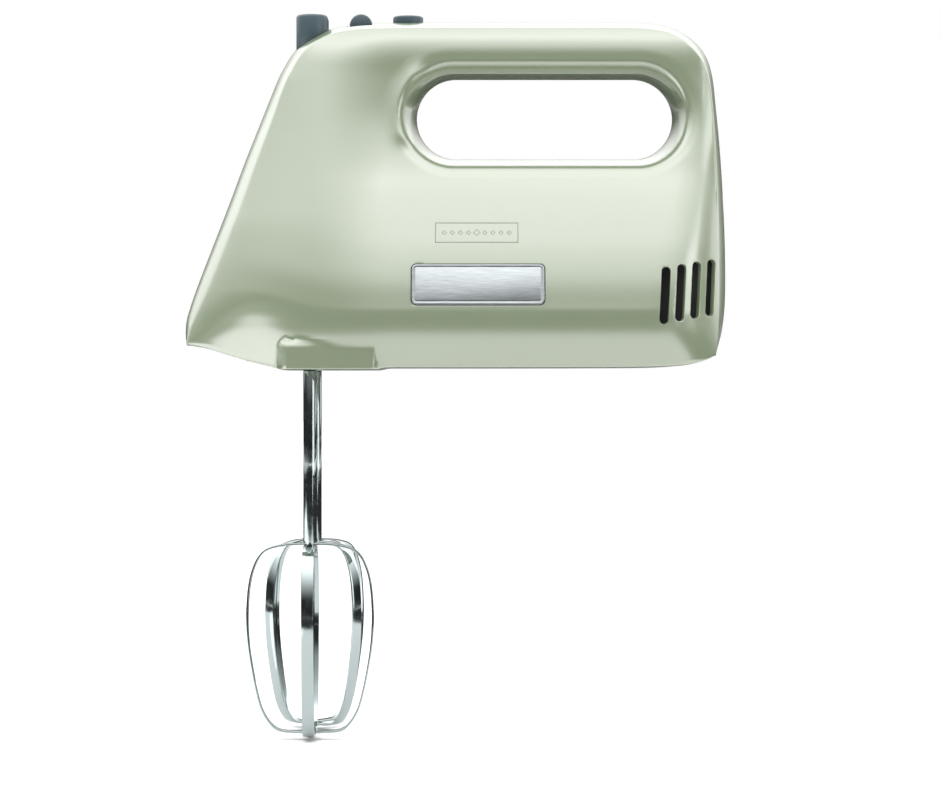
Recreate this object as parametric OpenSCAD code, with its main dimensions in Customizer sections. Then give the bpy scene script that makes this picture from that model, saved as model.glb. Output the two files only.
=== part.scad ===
// Hand mixer with two beaters, in millimetres.
// X runs from the nose (-X) to the heel (+X), Y across, Z up. The origin is the centre of the hand grip.

/* [Body] */
// Length from the nose to the heel
body_l = 197.6; // [194:0.2:240]
// Height from the base to the top of the handle
body_h = 126.4; // [122:0.2:152]
// Width of the belly at its widest
body_w = 78; // [76:0.5:96]
// Width of the handle
handle_w = 36.4; // [35:0.1:44]
// Height of the handle bar above the finger opening
bar_h = 20.7; // [20:0.1:25]
// Length of the finger opening
open_l = 93.5; // [78:0.5:112]
// Height of the finger opening
open_h = 29.7; // [24:0.1:34]
// Depth of the post behind the finger opening
rear_post = 19.5; // [17:0.1:24]
// Wall thickness of the housing
wall = 2.2; // [1.8:0.1:2.7]
// Width of the gearbox boss on the underside
boss_w = 69; // [62:0.5:76]
// How far the gearbox boss stands below the base
boss_drop = 0.7; // [0.4:0.1:2]

/* [Drive] */
// Distance between the two beater axes
beater_gap = 40; // [38:0.2:42]
// Distance from the nose back to the beater axes
spindle_back = 46.4; // [45:0.2:54]
// Height of the motor axis above the base
motor_up = 30; // [28.6:0.2:34]
// Pitch radius of the worm
worm_r = 7; // [6:0.1:8]
// Number of teeth on each worm wheel
wheel_teeth = 26; // [24:1:30]
// Face width of a worm wheel
wheel_face = 7; // [5:0.5:8]
// Outer radius of a spindle
spindle_r = 5; // [4.4:0.1:6]
// Radius of the motor shaft
shaft_r = 3; // [2.5:0.1:3.6]
// Outer radius of the motor bearings
bearing_r = 8; // [6.8:0.1:9.4]
// Outer radius of the stator
stator_r = 26; // [24:0.2:27]
// Length of the stator
stator_l = 36; // [30:0.5:40]
// Air gap between the stator and the armature
air_gap = 0.8; // [0.4:0.1:1.2]

/* [Beaters] */
// Radius of a beater shaft
beater_r = 2.45; // [2.1:0.05:2.8]
// Length of a beater below the base
beater_drop = 132.8; // [110:0.5:160]
// Height of the wire cage
cage_h = 68.5; // [57:0.5:82]
// Radius of the wire cage at its widest
cage_r = 23; // [19.5:0.1:24]
// Width of the flat strip
strip_w = 4.4; // [3.6:0.1:5.2]
// Thickness of the flat strip
strip_t = 0.8; // [0.7:0.05:1]

/* [Controls] */
// Depth of the eject button along the body
eject_d = 11.4; // [9.6:0.1:12]
// Width of the eject button across the body
eject_w = 22; // [18.4:0.2:25]
// Travel of the eject button and the beaters
eject_travel = 6; // [4:0.1:7]
// Depth of the speed tab along the body
tab_d = 8.4; // [7:0.1:10]
// Thickness of the speed tab
tab_t = 3.4; // [2.8:0.1:4.1]
// Side travel of the speed tab
tab_travel = 16; // [12:0.2:17]
// Radius of the pulse button
pulse_r = 5.5; // [4.6:0.1:6.6]
// Travel of the pulse button
pulse_travel = 2; // [1:0.1:2.5]
// Gap around each control in the housing
control_gap = 0.3; // [0.2:0.05:0.5]

/* [Trim] */
// Length of the badge plate
badge_l = 47.3; // [40:0.1:57]
// Height of the badge plate
badge_h = 14.6; // [12:0.1:16]
// Thickness of the badge plate
badge_t = 1; // [0.8:0.1:1.2]
// Number of cooling slots on each side
vent_n = 4; // [3:1:4]
// Width of a cooling slot
vent_w = 3.3; // [2.6:0.1:4]
// Distance from one cooling slot to the next
vent_pitch = 5.6; // [5:0.1:6.6]
// Height of a cooling slot
vent_h = 20.5; // [17:0.1:24]
// Radius of the cord bore in the gland
cord_r = 3.6; // [3:0.1:4.2]
// Outer radius of the cord gland
gland_r = 6.5; // [5.8:0.1:8]

/* [Fasteners] */
// Radius of a screw shank
screw_r = 1.5; // [1.2:0.05:1.8]
// Radius of a screw head
head_r = 2.9; // [2.4:0.05:3.2]
// Radius of a screw boss
post_r = 3.6; // [3.3:0.05:4.2]
// Radial clearance round a screw shank
screw_gap = 0.15; // [0.1:0.05:0.25]
// Radial running clearance of the turning parts
run_gap = 0.05; // [0.03:0.01:0.09]

/* [Hidden] */
$fn = 48;
STEPS = 3;
FAR = 300;

// Colours
sage = "#c9d3bd";
slate = "#3c5058";
steel = "#b9bec2";
copper = "#b06a3b";
black = "#2a2c2e";
brass = "#c8a85a";

// Main stations of the body
x_rear = open_l / 2 + rear_post;
x_nose = x_rear - body_l;
z_top = bar_h / 2;
z_base = z_top - body_h;
z_open_top = -bar_h / 2;
z_floor = z_open_top - open_h;
z_open = (z_open_top + z_floor) / 2;
z_belly = z_base + 20;

// Stations of the drive
spx = x_nose + spindle_back;
gy = beater_gap / 2;
zm = z_base + motor_up;
wheel_r = gy - worm_r;
gear_module = 2 * wheel_r / wheel_teeth;
tooth_pitch = PI * gear_module;
tooth_up = 0.8 * gear_module;
tooth_down = gear_module;
worm_l = 16;
bush_r = spindle_r + 2.3;
bush_h = 8;
frame_z0 = z_base + 6;
frame_z1 = z_base + 10;
cover_z0 = zm + 12;
cover_z1 = zm + 15;
cover_bush_z = cover_z1 - bush_h + 1;
spindle_z0 = z_base + 1.2;
spindle_z1 = cover_z1 + 2.4;
front_wall = [spx - 26, spx - 20];
rear_wall = [spx + 16, spx + 22];
front_posts = [spx - 21.5, 18];
rear_posts = [spx + 17.7, 26];
stator_x0 = spx + 39;
stator_x1 = stator_x0 + stator_l;
armature_r = stator_r - 10.2 - air_gap;
coil_reach = 8;
comm_r = 9;
comm_x = [stator_x1 + 11, stator_x1 + 23];
brush_x = (comm_x[0] + comm_x[1]) / 2;
brush_d = 5;
brush_w = 6;
brush_y1 = 18;
holder_y = [12, 27];
bracket_x = [stator_x1 + 30, stator_x1 + 34];
bracket_post_up = 21;
fan_x = [bracket_x[1] + 3, bracket_x[1] + 13];
fan_r = 22.5;
shaft_x = [spx - 25, fan_x[1] + 3];

// Stations of the beaters
cage_z0 = z_base - beater_drop + 1;
cage_z1 = cage_z0 + cage_h;
beater_z1 = zm + 5;
beater_z0 = cage_z1 - 2.7;
lug_z = [z_base + 5, z_base + 10];
lug_t = 1.2;
lug_reach = spindle_r - 1.1;

// Stations of the controls
button_z1 = z_top + 2.4;
button_z0 = z_top - 13;
fork_t = 4;
fork_z0 = spindle_z1 + eject_travel + 0.6;
fork_pin_r = beater_r - 0.35;
rod_r = 3;
guide_z = [z_floor + 12, z_floor + 16];
tab_x = spx + 17.5;
tab_z1 = z_top + 3.9;
carriage_z = [z_top - 9, z_top - 6];
switch_z = [z_top - 17.5, carriage_z[0] - 0.3];
pulse_x = spx + 35;
pulse_z1 = z_top + 2.2;
pulse_z0 = z_top - 6;
pulse_switch_z = [z_top - 17.5, z_top - 13.5];
board_z = [z_floor - 9.4, z_floor - 7.8];
board_x = [-34, 34];
board_y = 17;
gland_z = z_base + 60;
gland_x = [x_rear - 11.5, x_rear - 2.2];
shelf_t = 2;
shelf_z = gland_z - 9.5;
baffle_x = [fan_x[1] + 3, x_rear - 6];
baffle_y = [18, 20];

// Screw places on the side of the body, as [x, z]
screw_places = [
    [x_nose + 16, z_base + 13],
    [x_nose + 34, z_top - 36],
    [-open_l / 2 - 9.5, z_floor - 9],
    [x_rear - 11.5, z_top - 22],
    [x_rear - 10, z_base + 12]
];
gearbox_places = [
    for (s = [-1, 1]) each [[front_posts[0], s * front_posts[1]], [rear_posts[0], s * rear_posts[1]]]
];

// A closed smooth curve through the given points
function curve(a, b, c, d, t) =
    0.5 * (2 * b + (c - a) * t + (2 * a - 5 * b + 4 * c - d) * t * t + (3 * b - a - 3 * c + d) * t * t * t);
function smooth(p, n = STEPS) = let (m = len(p)) [
    for (i = [0 : m - 1], k = [0 : n - 1])
        curve(p[(i + m - 1) % m], p[i], p[(i + 1) % m], p[(i + 2) % m], k / n)
];
// The same outline moved inwards by d; the points run clockwise
function inset(p, d) = let (m = len(p)) [
    for (i = [0 : m - 1])
        let (t = p[(i + 1) % m] - p[(i + m - 1) % m], u = t / norm(t))
            p[i] + d * [u[1], -u[0]]
];
// A half outline, given as [width, station], made whole about its centre line
function both_sides(p) = concat(p, [for (i = [len(p) - 1 : -1 : 0]) if (p[i][0] > 0) [-p[i][0], p[i][1]]]);
function flip(p) = [for (q = p) [q[1], q[0]]];
function mix(a, b, t) = a + (b - a) * t;

// Side outline, from the nose up the front, over the handle and back along the base
front_low = [x_nose + 2.2, z_base + 23.4];
front_high = [x_nose + 38, z_top - 13.6];
side_points = [
    [x_nose + 1.1, z_base + 8.6],
    [x_nose, z_base + 15],
    front_low,
    mix(front_low, front_high, 0.33),
    mix(front_low, front_high, 0.67),
    front_high,
    [x_nose + 44.8, z_top - 6.6],
    [x_nose + 51.7, z_top - 3.3],
    [x_nose + 64, z_top - 1.3],
    [-36, z_top - 0.1],
    [0, z_top],
    [x_rear - 32, z_top],
    [x_rear - 23.9, z_top - 0.9],
    [x_rear - 16.5, z_top - 2.7],
    [x_rear - 12.5, z_top - 5.3],
    [x_rear - 8.1, z_top - 10.8],
    [x_rear - 6.3, z_top - 16.6],
    [x_rear - 3.3, z_top - 39.4],
    [x_rear - 1.9, z_top - 61.4],
    [x_rear - 0.4, z_base + 44],
    [x_rear + 0.4, z_base + 30],
    [x_rear - 0.2, z_base + 17.4],
    [x_rear - 1.1, z_base + 10],
    [x_rear - 3.3, z_base + 4.6],
    [x_rear - 9.2, z_base + 2],
    [x_rear - 25.7, z_base + 0.5],
    [0, z_base - 0.3],
    [x_nose + 60, z_base - 0.3],
    [x_nose + 40, z_base - 0.1],
    [x_nose + 29, z_base + 1.3],
    [x_nose + 18, z_base + 3.9],
    [x_nose + 7, z_base + 7.6]
];
// Half of the cross section, as [width, height], from the top down
hw = handle_w / 2;
bw = body_w / 2;
function flank(f, g) = [mix(hw, bw, f), mix(z_floor, z_belly, g)];
section_half = [
    [0, z_top + 0.6],
    [hw - 9, z_top - 0.3],
    [hw - 4.6, z_top - 2.8],
    [hw - 1.3, z_top - 6.8],
    [hw, z_top - 12],
    [hw + 0.2, z_open_top],
    [hw + 1, z_open],
    flank(0.15, -0.1),
    flank(0.27, 0.07),
    flank(0.44, 0.25),
    flank(0.63, 0.44),
    flank(0.8, 0.63),
    flank(0.93, 0.82),
    flank(1, 1),
    [bw - 0.5, z_base + 12.5],
    [bw - 2.8, z_base + 6.5],
    [bw - 7, z_base + 2.2],
    [bw - 13, z_base - 0.3]
];
// Half of the plan outline, as [width, x], from the nose back
plan_half = [
    [0, x_nose - 0.4],
    [9, x_nose + 0.8],
    [17, x_nose + 3.8],
    [24.5, x_nose + 9.6],
    [bw - 8, x_nose + 19.5],
    [bw - 3, x_nose + 33],
    [bw + 0.2, x_nose + 56],
    [bw + 0.4, x_nose + 90],
    [bw, x_rear - 36],
    [bw - 2, x_rear - 19],
    [bw - 6, x_rear - 8.5],
    [bw - 12, x_rear - 2.6],
    [bw - 19, x_rear + 0.4],
    [0, x_rear + 0.6]
];
// The three outlines, moved inwards by d and then smoothed
function side_outline(d) = [for (p = smooth(inset(side_points, d))) [p[0], min(p[1], z_top - d)]];
function section_outline(d) =
    [for (p = smooth(inset(both_sides(section_half), d))) [p[0], max(p[1], z_base + d)]];
function plan_outline(d) =
    [for (p = smooth(inset(flip(both_sides(plan_half)), d))) [min(p[0], x_rear - d), p[1]]];

// Badge plane, on the chord between two heights of the flank
badge_x = mix(x_nose, x_rear, 0.541);
badge_z = [z_base + 36.6, z_base + 22];
badge_chord = [flank(0.82, 0.66), flank(1, 1)];
badge_tilt = atan2(badge_chord[1][0] - badge_chord[0][0], badge_chord[0][1] - badge_chord[1][1]);
badge_mid_z = (badge_z[0] + badge_z[1]) / 2;
badge_mid_y = mix(badge_chord[1][0], badge_chord[0][0],
    (badge_mid_z - badge_chord[1][1]) / (badge_chord[0][1] - badge_chord[1][1]));
badge_proud = 0.55;

// Basic shapes
module block(x, y, z) {
    translate([x[0], y[0], z[0]])
        cube([x[1] - x[0], y[1] - y[0], z[1] - z[0]]);
}
module rod_x(r, x, y = 0, z = 0) {
    translate([x[0], y, z])
        rotate([0, 90, 0])
            cylinder(r = r, h = x[1] - x[0]);
}
module rod_y(r, y, x = 0, z = 0) {
    translate([x, y[0], z])
        rotate([-90, 0, 0])
            cylinder(r = r, h = y[1] - y[0]);
}
module rod_z(r, z, x = 0, y = 0) {
    translate([x, y, z[0]])
        cylinder(r = r, h = z[1] - z[0]);
}
module stadium(l, h) {
    square([l - h, h], center = true);
    for (s = [-1, 1])
        translate([s * (l - h) / 2, 0])
            circle(d = h);
}
module rounded(l, h, r) {
    square([l - 2 * r, h], center = true);
    square([l, h - 2 * r], center = true);
    for (i = [-1, 1], j = [-1, 1])
        translate([i * (l / 2 - r), j * (h / 2 - r)])
            circle(r = r);
}
// A coil spring standing on z = 0, swept as one closed tube
module spring(r, wire, h, turns) {
    rings = 12 * turns;
    sides = 6;
    rise = h - 2 * wire;
    points = [
        for (i = [0 : rings], k = [0 : sides - 1])
            let (a = 360 * turns * i / rings, b = 360 * k / sides, q = r + wire * cos(b))
                [q * cos(a), q * sin(a), wire + rise * i / rings + wire * sin(b)]
    ];
    sides_faces = [
        for (i = [0 : rings - 1], k = [0 : sides - 1])
            let (a = i * sides + k, b = i * sides + (k + 1) % sides)
                [a, a + sides, b + sides, b]
    ];
    start = [for (k = [0 : sides - 1]) k];
    end = [for (k = [sides - 1 : -1 : 0]) rings * sides + k];
    polyhedron(points, concat(sides_faces, [start, end]));
}
// A plain lead: straight runs with rounded corners
module lead(points, r = 0.9) {
    for (i = [0 : len(points) - 2]) {
        d = points[i + 1] - points[i];
        translate(points[i])
            rotate([0, acos(d[2] / norm(d)), atan2(d[1], d[0])])
                cylinder(r = r, h = norm(d), $fn = 24);
    }
    for (p = points)
        translate(p)
            sphere(r = r, $fn = 24);
}

// The body's outer form, inset by d
module body_form(d = 0) {
    intersection() {
        rotate([90, 0, 0])
            linear_extrude(FAR, center = true)
                polygon(side_outline(d));
        rotate([90, 0, 90])
            linear_extrude(2 * FAR, center = true)
                polygon(section_outline(d));
        linear_extrude(2 * FAR, center = true)
            polygon(plan_outline(d));
    }
}
module finger_form(grow = 0) {
    translate([0, 0, z_open])
        rotate([90, 0, 0])
            linear_extrude(FAR, center = true)
                stadium(open_l + 2 * grow, open_h + 2 * grow);
}
// The straight-sided boss that the gearbox sits in
module gearbox_boss() {
    translate([0, 0, z_base - boss_drop])
        linear_extrude(12)
            translate([spx + 9, 0])
                rounded(39, boss_w, 5);
}
module half(side) {
    intersection() {
        children();
        block([-FAR, FAR], side < 0 ? [-FAR, 0] : [0, FAR], [-FAR, FAR]);
    }
}
module badge_place(y) {
    translate([badge_x, -badge_mid_y, badge_mid_z])
        rotate([90 - badge_tilt, 0, 0])
            translate([0, 0, y])
                children();
}
// Ribs, shelves and bosses that the shell carries inside
module inner_supports() {
    for (p = screw_places)
        rod_y(post_r, [-FAR, FAR], p[0], p[1]);
    for (p = gearbox_places)
        rod_z(post_r, [z_base, frame_z0], p[0], p[1]);
    for (x = [stator_x0 + 6, stator_x1 - 9])
        difference() {
            block([x, x + 3], [-FAR, FAR], [z_base, zm + 8]);
            rod_x(stator_r, [x - 1, x + 4], 0, zm);
        }
    for (s = [-1, 1]) {
        side = s < 0 ? [-FAR, 0.5 - board_y] : [board_y - 0.5, FAR];
        block(board_x, side, [board_z[0] - shelf_t, board_z[0]]);
        ledge = s < 0 ? [-FAR, -11] : [11, FAR];
        block([spx - 7, spx + 9], ledge, [guide_z[0] - shelf_t, guide_z[0]]);
        block([tab_x - 8, tab_x + 8], ledge, [switch_z[0] - shelf_t, switch_z[0]]);
        seat = s < 0 ? [-FAR, -8] : [8, FAR];
        block([pulse_x - 6, pulse_x + 6], seat, [pulse_switch_z[0] - shelf_t, pulse_switch_z[0]]);
    }
    block([gland_x[0] - 9, x_rear], [-FAR, FAR], [shelf_z, shelf_z + shelf_t]);
}
module vents() {
    for (i = [0 : vent_n - 1])
        translate([x_rear - 7.4 - (vent_n - 1 - i) * vent_pitch, 0, z_base + 25.4 + i])
            rotate([90, 3, 0])
                linear_extrude(FAR, center = true)
                    rotate(90)
                        stadium(vent_h, vent_w);
}
// Everything that is cut through both halves of the shell
module openings() {
    finger_form();
    vents();
    translate([spx, 0, button_z0 - eject_travel])
        linear_extrude(FAR)
            rotate(90)
                stadium(eject_w + 2 * control_gap, eject_d + 2 * control_gap);
    block([tab_x - tab_d / 2 - control_gap, tab_x + tab_d / 2 + control_gap],
        [-(tab_travel + tab_t) / 2 - control_gap, (tab_travel + tab_t) / 2 + control_gap], [0, FAR]);
    rod_z(pulse_r + control_gap, [0, FAR], pulse_x, 0);
    for (s = [-1, 1])
        rod_z(spindle_r + 1, [-FAR, z_base + wall + 1], spx, s * gy);
    rod_x(gland_r, [gland_x[0], FAR], 0, gland_z);
    for (p = gearbox_places)
        rod_z(screw_r, [z_base + wall - 0.4, frame_z0 + 1], p[0], p[1]);
}
module shell() {
    difference() {
        union() {
            difference() {
                union() {
                    body_form();
                    gearbox_boss();
                }
                difference() {
                    body_form(wall);
                    finger_form(wall);
                }
            }
            intersection() {
                body_form(wall / 2);
                inner_supports();
            }
        }
        openings();
    }
}

module left_housing() {
    color(sage)
        difference() {
            half(-1) shell();
            for (p = screw_places)
                rod_y(screw_r, [-13, 1], p[0], p[1]);
            badge_place(badge_proud - badge_t)
                linear_extrude(5)
                    rounded(badge_l + 0.4, badge_h + 0.4, 2);
        }
}
module right_housing() {
    color(sage)
        difference() {
            half(1) shell();
            for (p = screw_places) {
                rod_y(screw_r + screw_gap, [-1, 9], p[0], p[1]);
                rod_y(head_r + 0.3, [8, FAR], p[0], p[1]);
            }
        }
}
module badge_plate() {
    color(steel)
        badge_place(badge_proud - badge_t)
            linear_extrude(badge_t)
                rounded(badge_l, badge_h, 1.8);
}
module cord_gland() {
    color(black)
        difference() {
            union() {
                rod_x(gland_r, gland_x, 0, gland_z);
                rod_x(gland_r + 0.9, [gland_x[0], gland_x[0] + 3], 0, gland_z);
            }
            rod_x(cord_r, [gland_x[0] - 1, gland_x[1] + 1], 0, gland_z);
        }
}
module cord_clamp() {
    x = [gland_x[0] - 7, gland_x[0] - 2];
    color(black)
        difference() {
            block(x, [-11, 11], [shelf_z + shelf_t, gland_z + 3]);
            rod_x(cord_r, [x[0] - 1, x[1] + 1], 0, gland_z);
            block([x[0] - 1, x[1] + 1], [-cord_r, cord_r], [gland_z, gland_z + 4]);
        }
}
module terminal_block() {
    x = [gland_x[0] - 8, gland_x[0] + 2];
    color(steel)
        difference() {
            block(x, [-9, 9], [shelf_z - 9.5, shelf_z]);
            for (y = [-5.5, 0, 5.5])
                rod_x(1.3, [x[0] - 1, x[1] + 1], y, gland_z - 15);
        }
}

// Plates behind the cooling slots, hung under the gland shelf and stepped over the screw boss
module air_baffles() {
    step_x = x_rear - 15;
    color(black)
        for (s = [-1, 1])
            mirror([0, s < 0 ? 1 : 0, 0]) {
                block([baffle_x[0], step_x], baffle_y, [z_base + 14, shelf_z]);
                block([step_x, baffle_x[1]], baffle_y, [z_base + 17, shelf_z]);
                block([step_x - 4, baffle_x[1]], [baffle_y[0] - 6, baffle_y[0]], [shelf_z - 1.6, shelf_z]);
            }
}

// Gearbox
module gearbox_plate(z) {
    translate([spx, 0, z[0]])
        linear_extrude(z[1] - z[0])
            polygon([
                [-26, -14], [-24, -21], [-9, -29.5], [22, -29.5],
                [22, 29.5], [-9, 29.5], [-24, 21], [-26, 14]
            ]);
}
module gearbox_screw_holes() {
    for (p = gearbox_places)
        rod_z(screw_r + screw_gap, [z_base, cover_z1 + 1], p[0], p[1]);
}
module gearbox_frame() {
    color(steel)
        difference() {
            union() {
                gearbox_plate([frame_z0, frame_z1]);
                block(front_wall, [-12, 12], [frame_z1, cover_z0]);
                block(rear_wall, [-12, 12], [frame_z1, cover_z0]);
                for (p = gearbox_places)
                    rod_z(post_r, [frame_z1, cover_z0], p[0], p[1]);
            }
            gearbox_screw_holes();
            rod_x(bearing_r, [spx - 27, spx - 19], 0, zm);
            rod_x(bearing_r, [spx + 15, spx + 23], 0, zm);
            for (s = [-1, 1])
                rod_z(bush_r, [z_base, frame_z1 + 1], spx, s * gy);
        }
}
module gearbox_cover() {
    color(steel)
        difference() {
            gearbox_plate([cover_z0, cover_z1]);
            gearbox_screw_holes();
            for (s = [-1, 1])
                rod_z(bush_r, [cover_z0 - 1, cover_z1 + 1], spx, s * gy);
        }
}
module bush(z) {
    for (s = [-1, 1])
        difference() {
            rod_z(bush_r, z, spx, s * gy);
            rod_z(spindle_r + run_gap, [z[0] - 1, z[1] + 1], spx, s * gy);
        }
}
module lower_bushes() {
    color(brass) bush([frame_z1 - 6, frame_z1 - 6 + bush_h]);
}
module upper_bushes() {
    color(brass) bush([cover_bush_z, cover_bush_z + bush_h - 1]);
}
module bearing(x) {
    color(steel)
        difference() {
            rod_x(bearing_r, x, 0, zm);
            rod_x(shaft_r + run_gap, [x[0] - 1, x[1] + 1], 0, zm);
        }
}
module front_bearing() {
    bearing([front_wall[0] + 0.5, front_wall[1] - 0.5]);
}
module middle_bearing() {
    bearing([rear_wall[0] + 0.5, rear_wall[1] - 0.5]);
}
module rear_bearing() {
    bearing([bracket_x[0] - 1, bracket_x[1]]);
}

// Motor
module rear_bracket() {
    color(steel)
        difference() {
            union() {
                rod_x(stator_r, bracket_x, 0, zm);
                rod_x(bearing_r + 2.5, [bracket_x[0] - 1, bracket_x[1]], 0, zm);
                for (s = [-1, 1]) {
                    rod_x(post_r, [stator_x1, bracket_x[0]], 0, zm + s * bracket_post_up);
                    translate([0, s * (holder_y[0] + holder_y[1]) / 2, 0])
                        block([brush_x + 5, bracket_x[0]], [-3, 3], [zm - 3, zm + 3]);
                }
            }
            rod_x(bearing_r, [bracket_x[0] - 2, bracket_x[1] + 1], 0, zm);
            for (s = [-1, 1]) {
                rod_x(screw_r + screw_gap, [stator_x1 - 1, bracket_x[1] + 1], 0, zm + s * bracket_post_up);
                for (a = [-40, 40])
                    translate([0, 0, zm])
                        rotate([a + (s < 0 ? 180 : 0), 0, 0])
                            rod_x(4.5, [bracket_x[0] - 1, bracket_x[1] + 1], 18, 0);
            }
        }
}
module stator_core() {
    color(steel)
        difference() {
            rod_x(stator_r, [stator_x0, stator_x1], 0, zm);
            rod_x(armature_r + air_gap, [stator_x0 - 1, stator_x1 + 1], 0, zm);
            for (s = [-1, 1]) {
                rod_x(screw_r + screw_gap, [stator_x0 - 1, stator_x1 + 1], 0, zm + s * bracket_post_up);
                for (a = [-35, 35])
                    translate([0, 0, zm])
                        rotate([a + (s < 0 ? 180 : 0), 0, 0])
                            block([stator_x0 - 1, stator_x1 + 1], [stator_r - 8, stator_r - 3], [-3, 3]);
            }
        }
}
module field_coils() {
    color(copper)
        for (s = [-1, 1])
            translate([0, 0, zm])
                rotate([s < 0 ? 180 : 0, 0, 0])
                    field_coil();
}
// One coil: two legs through the stator slots, joined by an arc at each end
module field_coil() {
    for (a = [-35, 35])
        rotate([a, 0, 0])
            block([stator_x0 - 2, stator_x1 + 2], [stator_r - 7.7, stator_r - 3.3], [-2.6, 2.6]);
    for (x = [[stator_x0 - coil_reach, stator_x0 - 1], [stator_x1 + 1, stator_x1 + coil_reach]])
        translate([x[0], 0, 0])
            rotate([0, 90, 0])
                rotate(90 - 42)
                    rotate_extrude(angle = 84)
                        translate([stator_r - 7.7, 0])
                            square([4.4, x[1] - x[0]]);
}
module brush_holders() {
    color(brass)
        for (s = [-1, 1])
            mirror([0, s < 0 ? 1 : 0, 0])
                difference() {
                    block([brush_x - 5, brush_x + 5], holder_y, [zm - 5, zm + 5]);
                    block([brush_x - brush_d / 2 - 0.1, brush_x + brush_d / 2 + 0.1],
                        [holder_y[0] - 1, holder_y[1] - 1], [zm - brush_w / 2 - 0.1, zm + brush_w / 2 + 0.1]);
                }
}
module carbon_brushes() {
    color(black)
        for (s = [-1, 1])
            mirror([0, s < 0 ? 1 : 0, 0])
                block([brush_x - brush_d / 2, brush_x + brush_d / 2],
                    [comm_r + 0.1, brush_y1], [zm - brush_w / 2, zm + brush_w / 2]);
}
module brush_springs() {
    color(steel)
        for (s = [-1, 1])
            mirror([0, s < 0 ? 1 : 0, 0])
                translate([brush_x, brush_y1, zm])
                    rotate([-90, 0, 0])
                        spring(1.8, 0.3, holder_y[1] - 1 - brush_y1, 5);
}
module armature_shaft() {
    color(steel)
        rod_x(shaft_r, shaft_x, 0, zm);
}
// Cross section of the worm: one ridge, its flanks and the root circle
worm_crest = 0.24 * tooth_pitch;
worm_foot = 0.46 * tooth_pitch;
function worm_at(axial, r) = [r * cos(360 * axial / tooth_pitch), r * sin(360 * axial / tooth_pitch)];
worm_section = concat(
    [for (t = [-1 : 0.5 : 1]) worm_at(t * worm_crest / 2, worm_r + tooth_up)],
    [for (i = [0 : 10]) worm_at(mix(worm_foot / 2, tooth_pitch - worm_foot / 2, i / 10), worm_r - tooth_down)]
);
module worm() {
    turns = worm_l / tooth_pitch;
    color(steel)
        translate([spx - worm_l / 2, 0, zm])
            rotate([0, 90, 0])
                difference() {
                    rotate(90 - 180 * turns)
                        linear_extrude(worm_l, twist = -360 * turns, slices = ceil(12 * turns),
                            segments = len(worm_section))
                            polygon(worm_section);
                    translate([0, 0, -1])
                        cylinder(r = shaft_r, h = worm_l + 2);
                }
}
module armature_core() {
    slots = 12;
    color(steel)
        difference() {
            rod_x(armature_r, [stator_x0, stator_x1], 0, zm);
            rod_x(shaft_r, [stator_x0 - 1, stator_x1 + 1], 0, zm);
            for (i = [0 : slots - 1])
                translate([0, 0, zm])
                    rotate([360 * i / slots, 0, 0])
                        block([stator_x0 - 1, stator_x1 + 1], [armature_r - 6, armature_r + 1], [-0.8, 0.8]);
        }
}
module armature_windings() {
    color(copper)
        for (x = [[stator_x0 - coil_reach, stator_x0], [stator_x1, stator_x1 + coil_reach]])
            difference() {
                rod_x(armature_r - 2, x, 0, zm);
                rod_x(shaft_r, [x[0] - 1, x[1] + 1], 0, zm);
            }
}
module commutator() {
    bars = 12;
    color(copper)
        difference() {
            rod_x(comm_r, comm_x, 0, zm);
            rod_x(shaft_r, [comm_x[0] - 1, comm_x[1] + 1], 0, zm);
            for (i = [0 : bars - 1])
                translate([0, 0, zm])
                    rotate([360 * i / bars, 0, 0])
                        block([comm_x[0] - 1, comm_x[1] - 2], [comm_r - 1.2, comm_r + 1], [-0.25, 0.25]);
        }
}
module cooling_fan() {
    blades = 9;
    color(black)
        difference() {
            union() {
                rod_x(7, fan_x, 0, zm);
                rod_x(fan_r, [fan_x[0], fan_x[0] + 1.6], 0, zm);
                for (i = [0 : blades - 1])
                    translate([0, 0, zm])
                        rotate([360 * i / blades, 0, 0])
                            block([fan_x[0], fan_x[1] - 1], [6, fan_r - 0.5], [-0.7, 0.7]);
            }
            rod_x(shaft_r, [fan_x[0] - 1, fan_x[1] + 1], 0, zm);
        }
}

// Spindles; side is -1 for the left beater and 1 for the right
module spindle(side) {
    color(steel)
        difference() {
            rod_z(spindle_r, [spindle_z0, spindle_z1], spx, side * gy);
            rod_z(beater_r + run_gap, [spindle_z0 - 1, spindle_z1 + 1], spx, side * gy);
            translate([spx, side * gy, 0])
                rotate(side < 0 ? 0 : 45)
                    block([-lug_reach - 0.3, lug_reach + 0.3], [-lug_t / 2 - 0.1, lug_t / 2 + 0.1],
                        [spindle_z0 - 1, lug_z[1] + 0.5]);
        }
}
// A worm wheel with a tooth, or a gap, facing the worm
module worm_wheel(side) {
    root = wheel_r - tooth_down;
    tip = wheel_r + tooth_up;
    foot = 0.54 * tooth_pitch;
    crest = 0.24 * tooth_pitch;
    color(brass)
        translate([spx, side * gy, 0])
            difference() {
                union() {
                    translate([0, 0, zm - wheel_face / 2])
                        linear_extrude(wheel_face)
                            for (i = [0 : wheel_teeth - 1])
                                rotate((i + (side > 0 ? 0.5 : 0)) * 360 / wheel_teeth - side * 90)
                                    polygon([[0, -foot / 2], [root, -foot / 2], [tip, -crest / 2],
                                        [tip, crest / 2], [root, foot / 2], [0, foot / 2]]);
                    rod_z(root, [zm - wheel_face / 2, zm + wheel_face / 2]);
                    rod_z(spindle_r + 1.6, [frame_z1 - 6 + bush_h + 0.2, cover_bush_z - 0.2]);
                }
                rod_z(spindle_r, [z_base, cover_z1]);
            }
}
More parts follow.
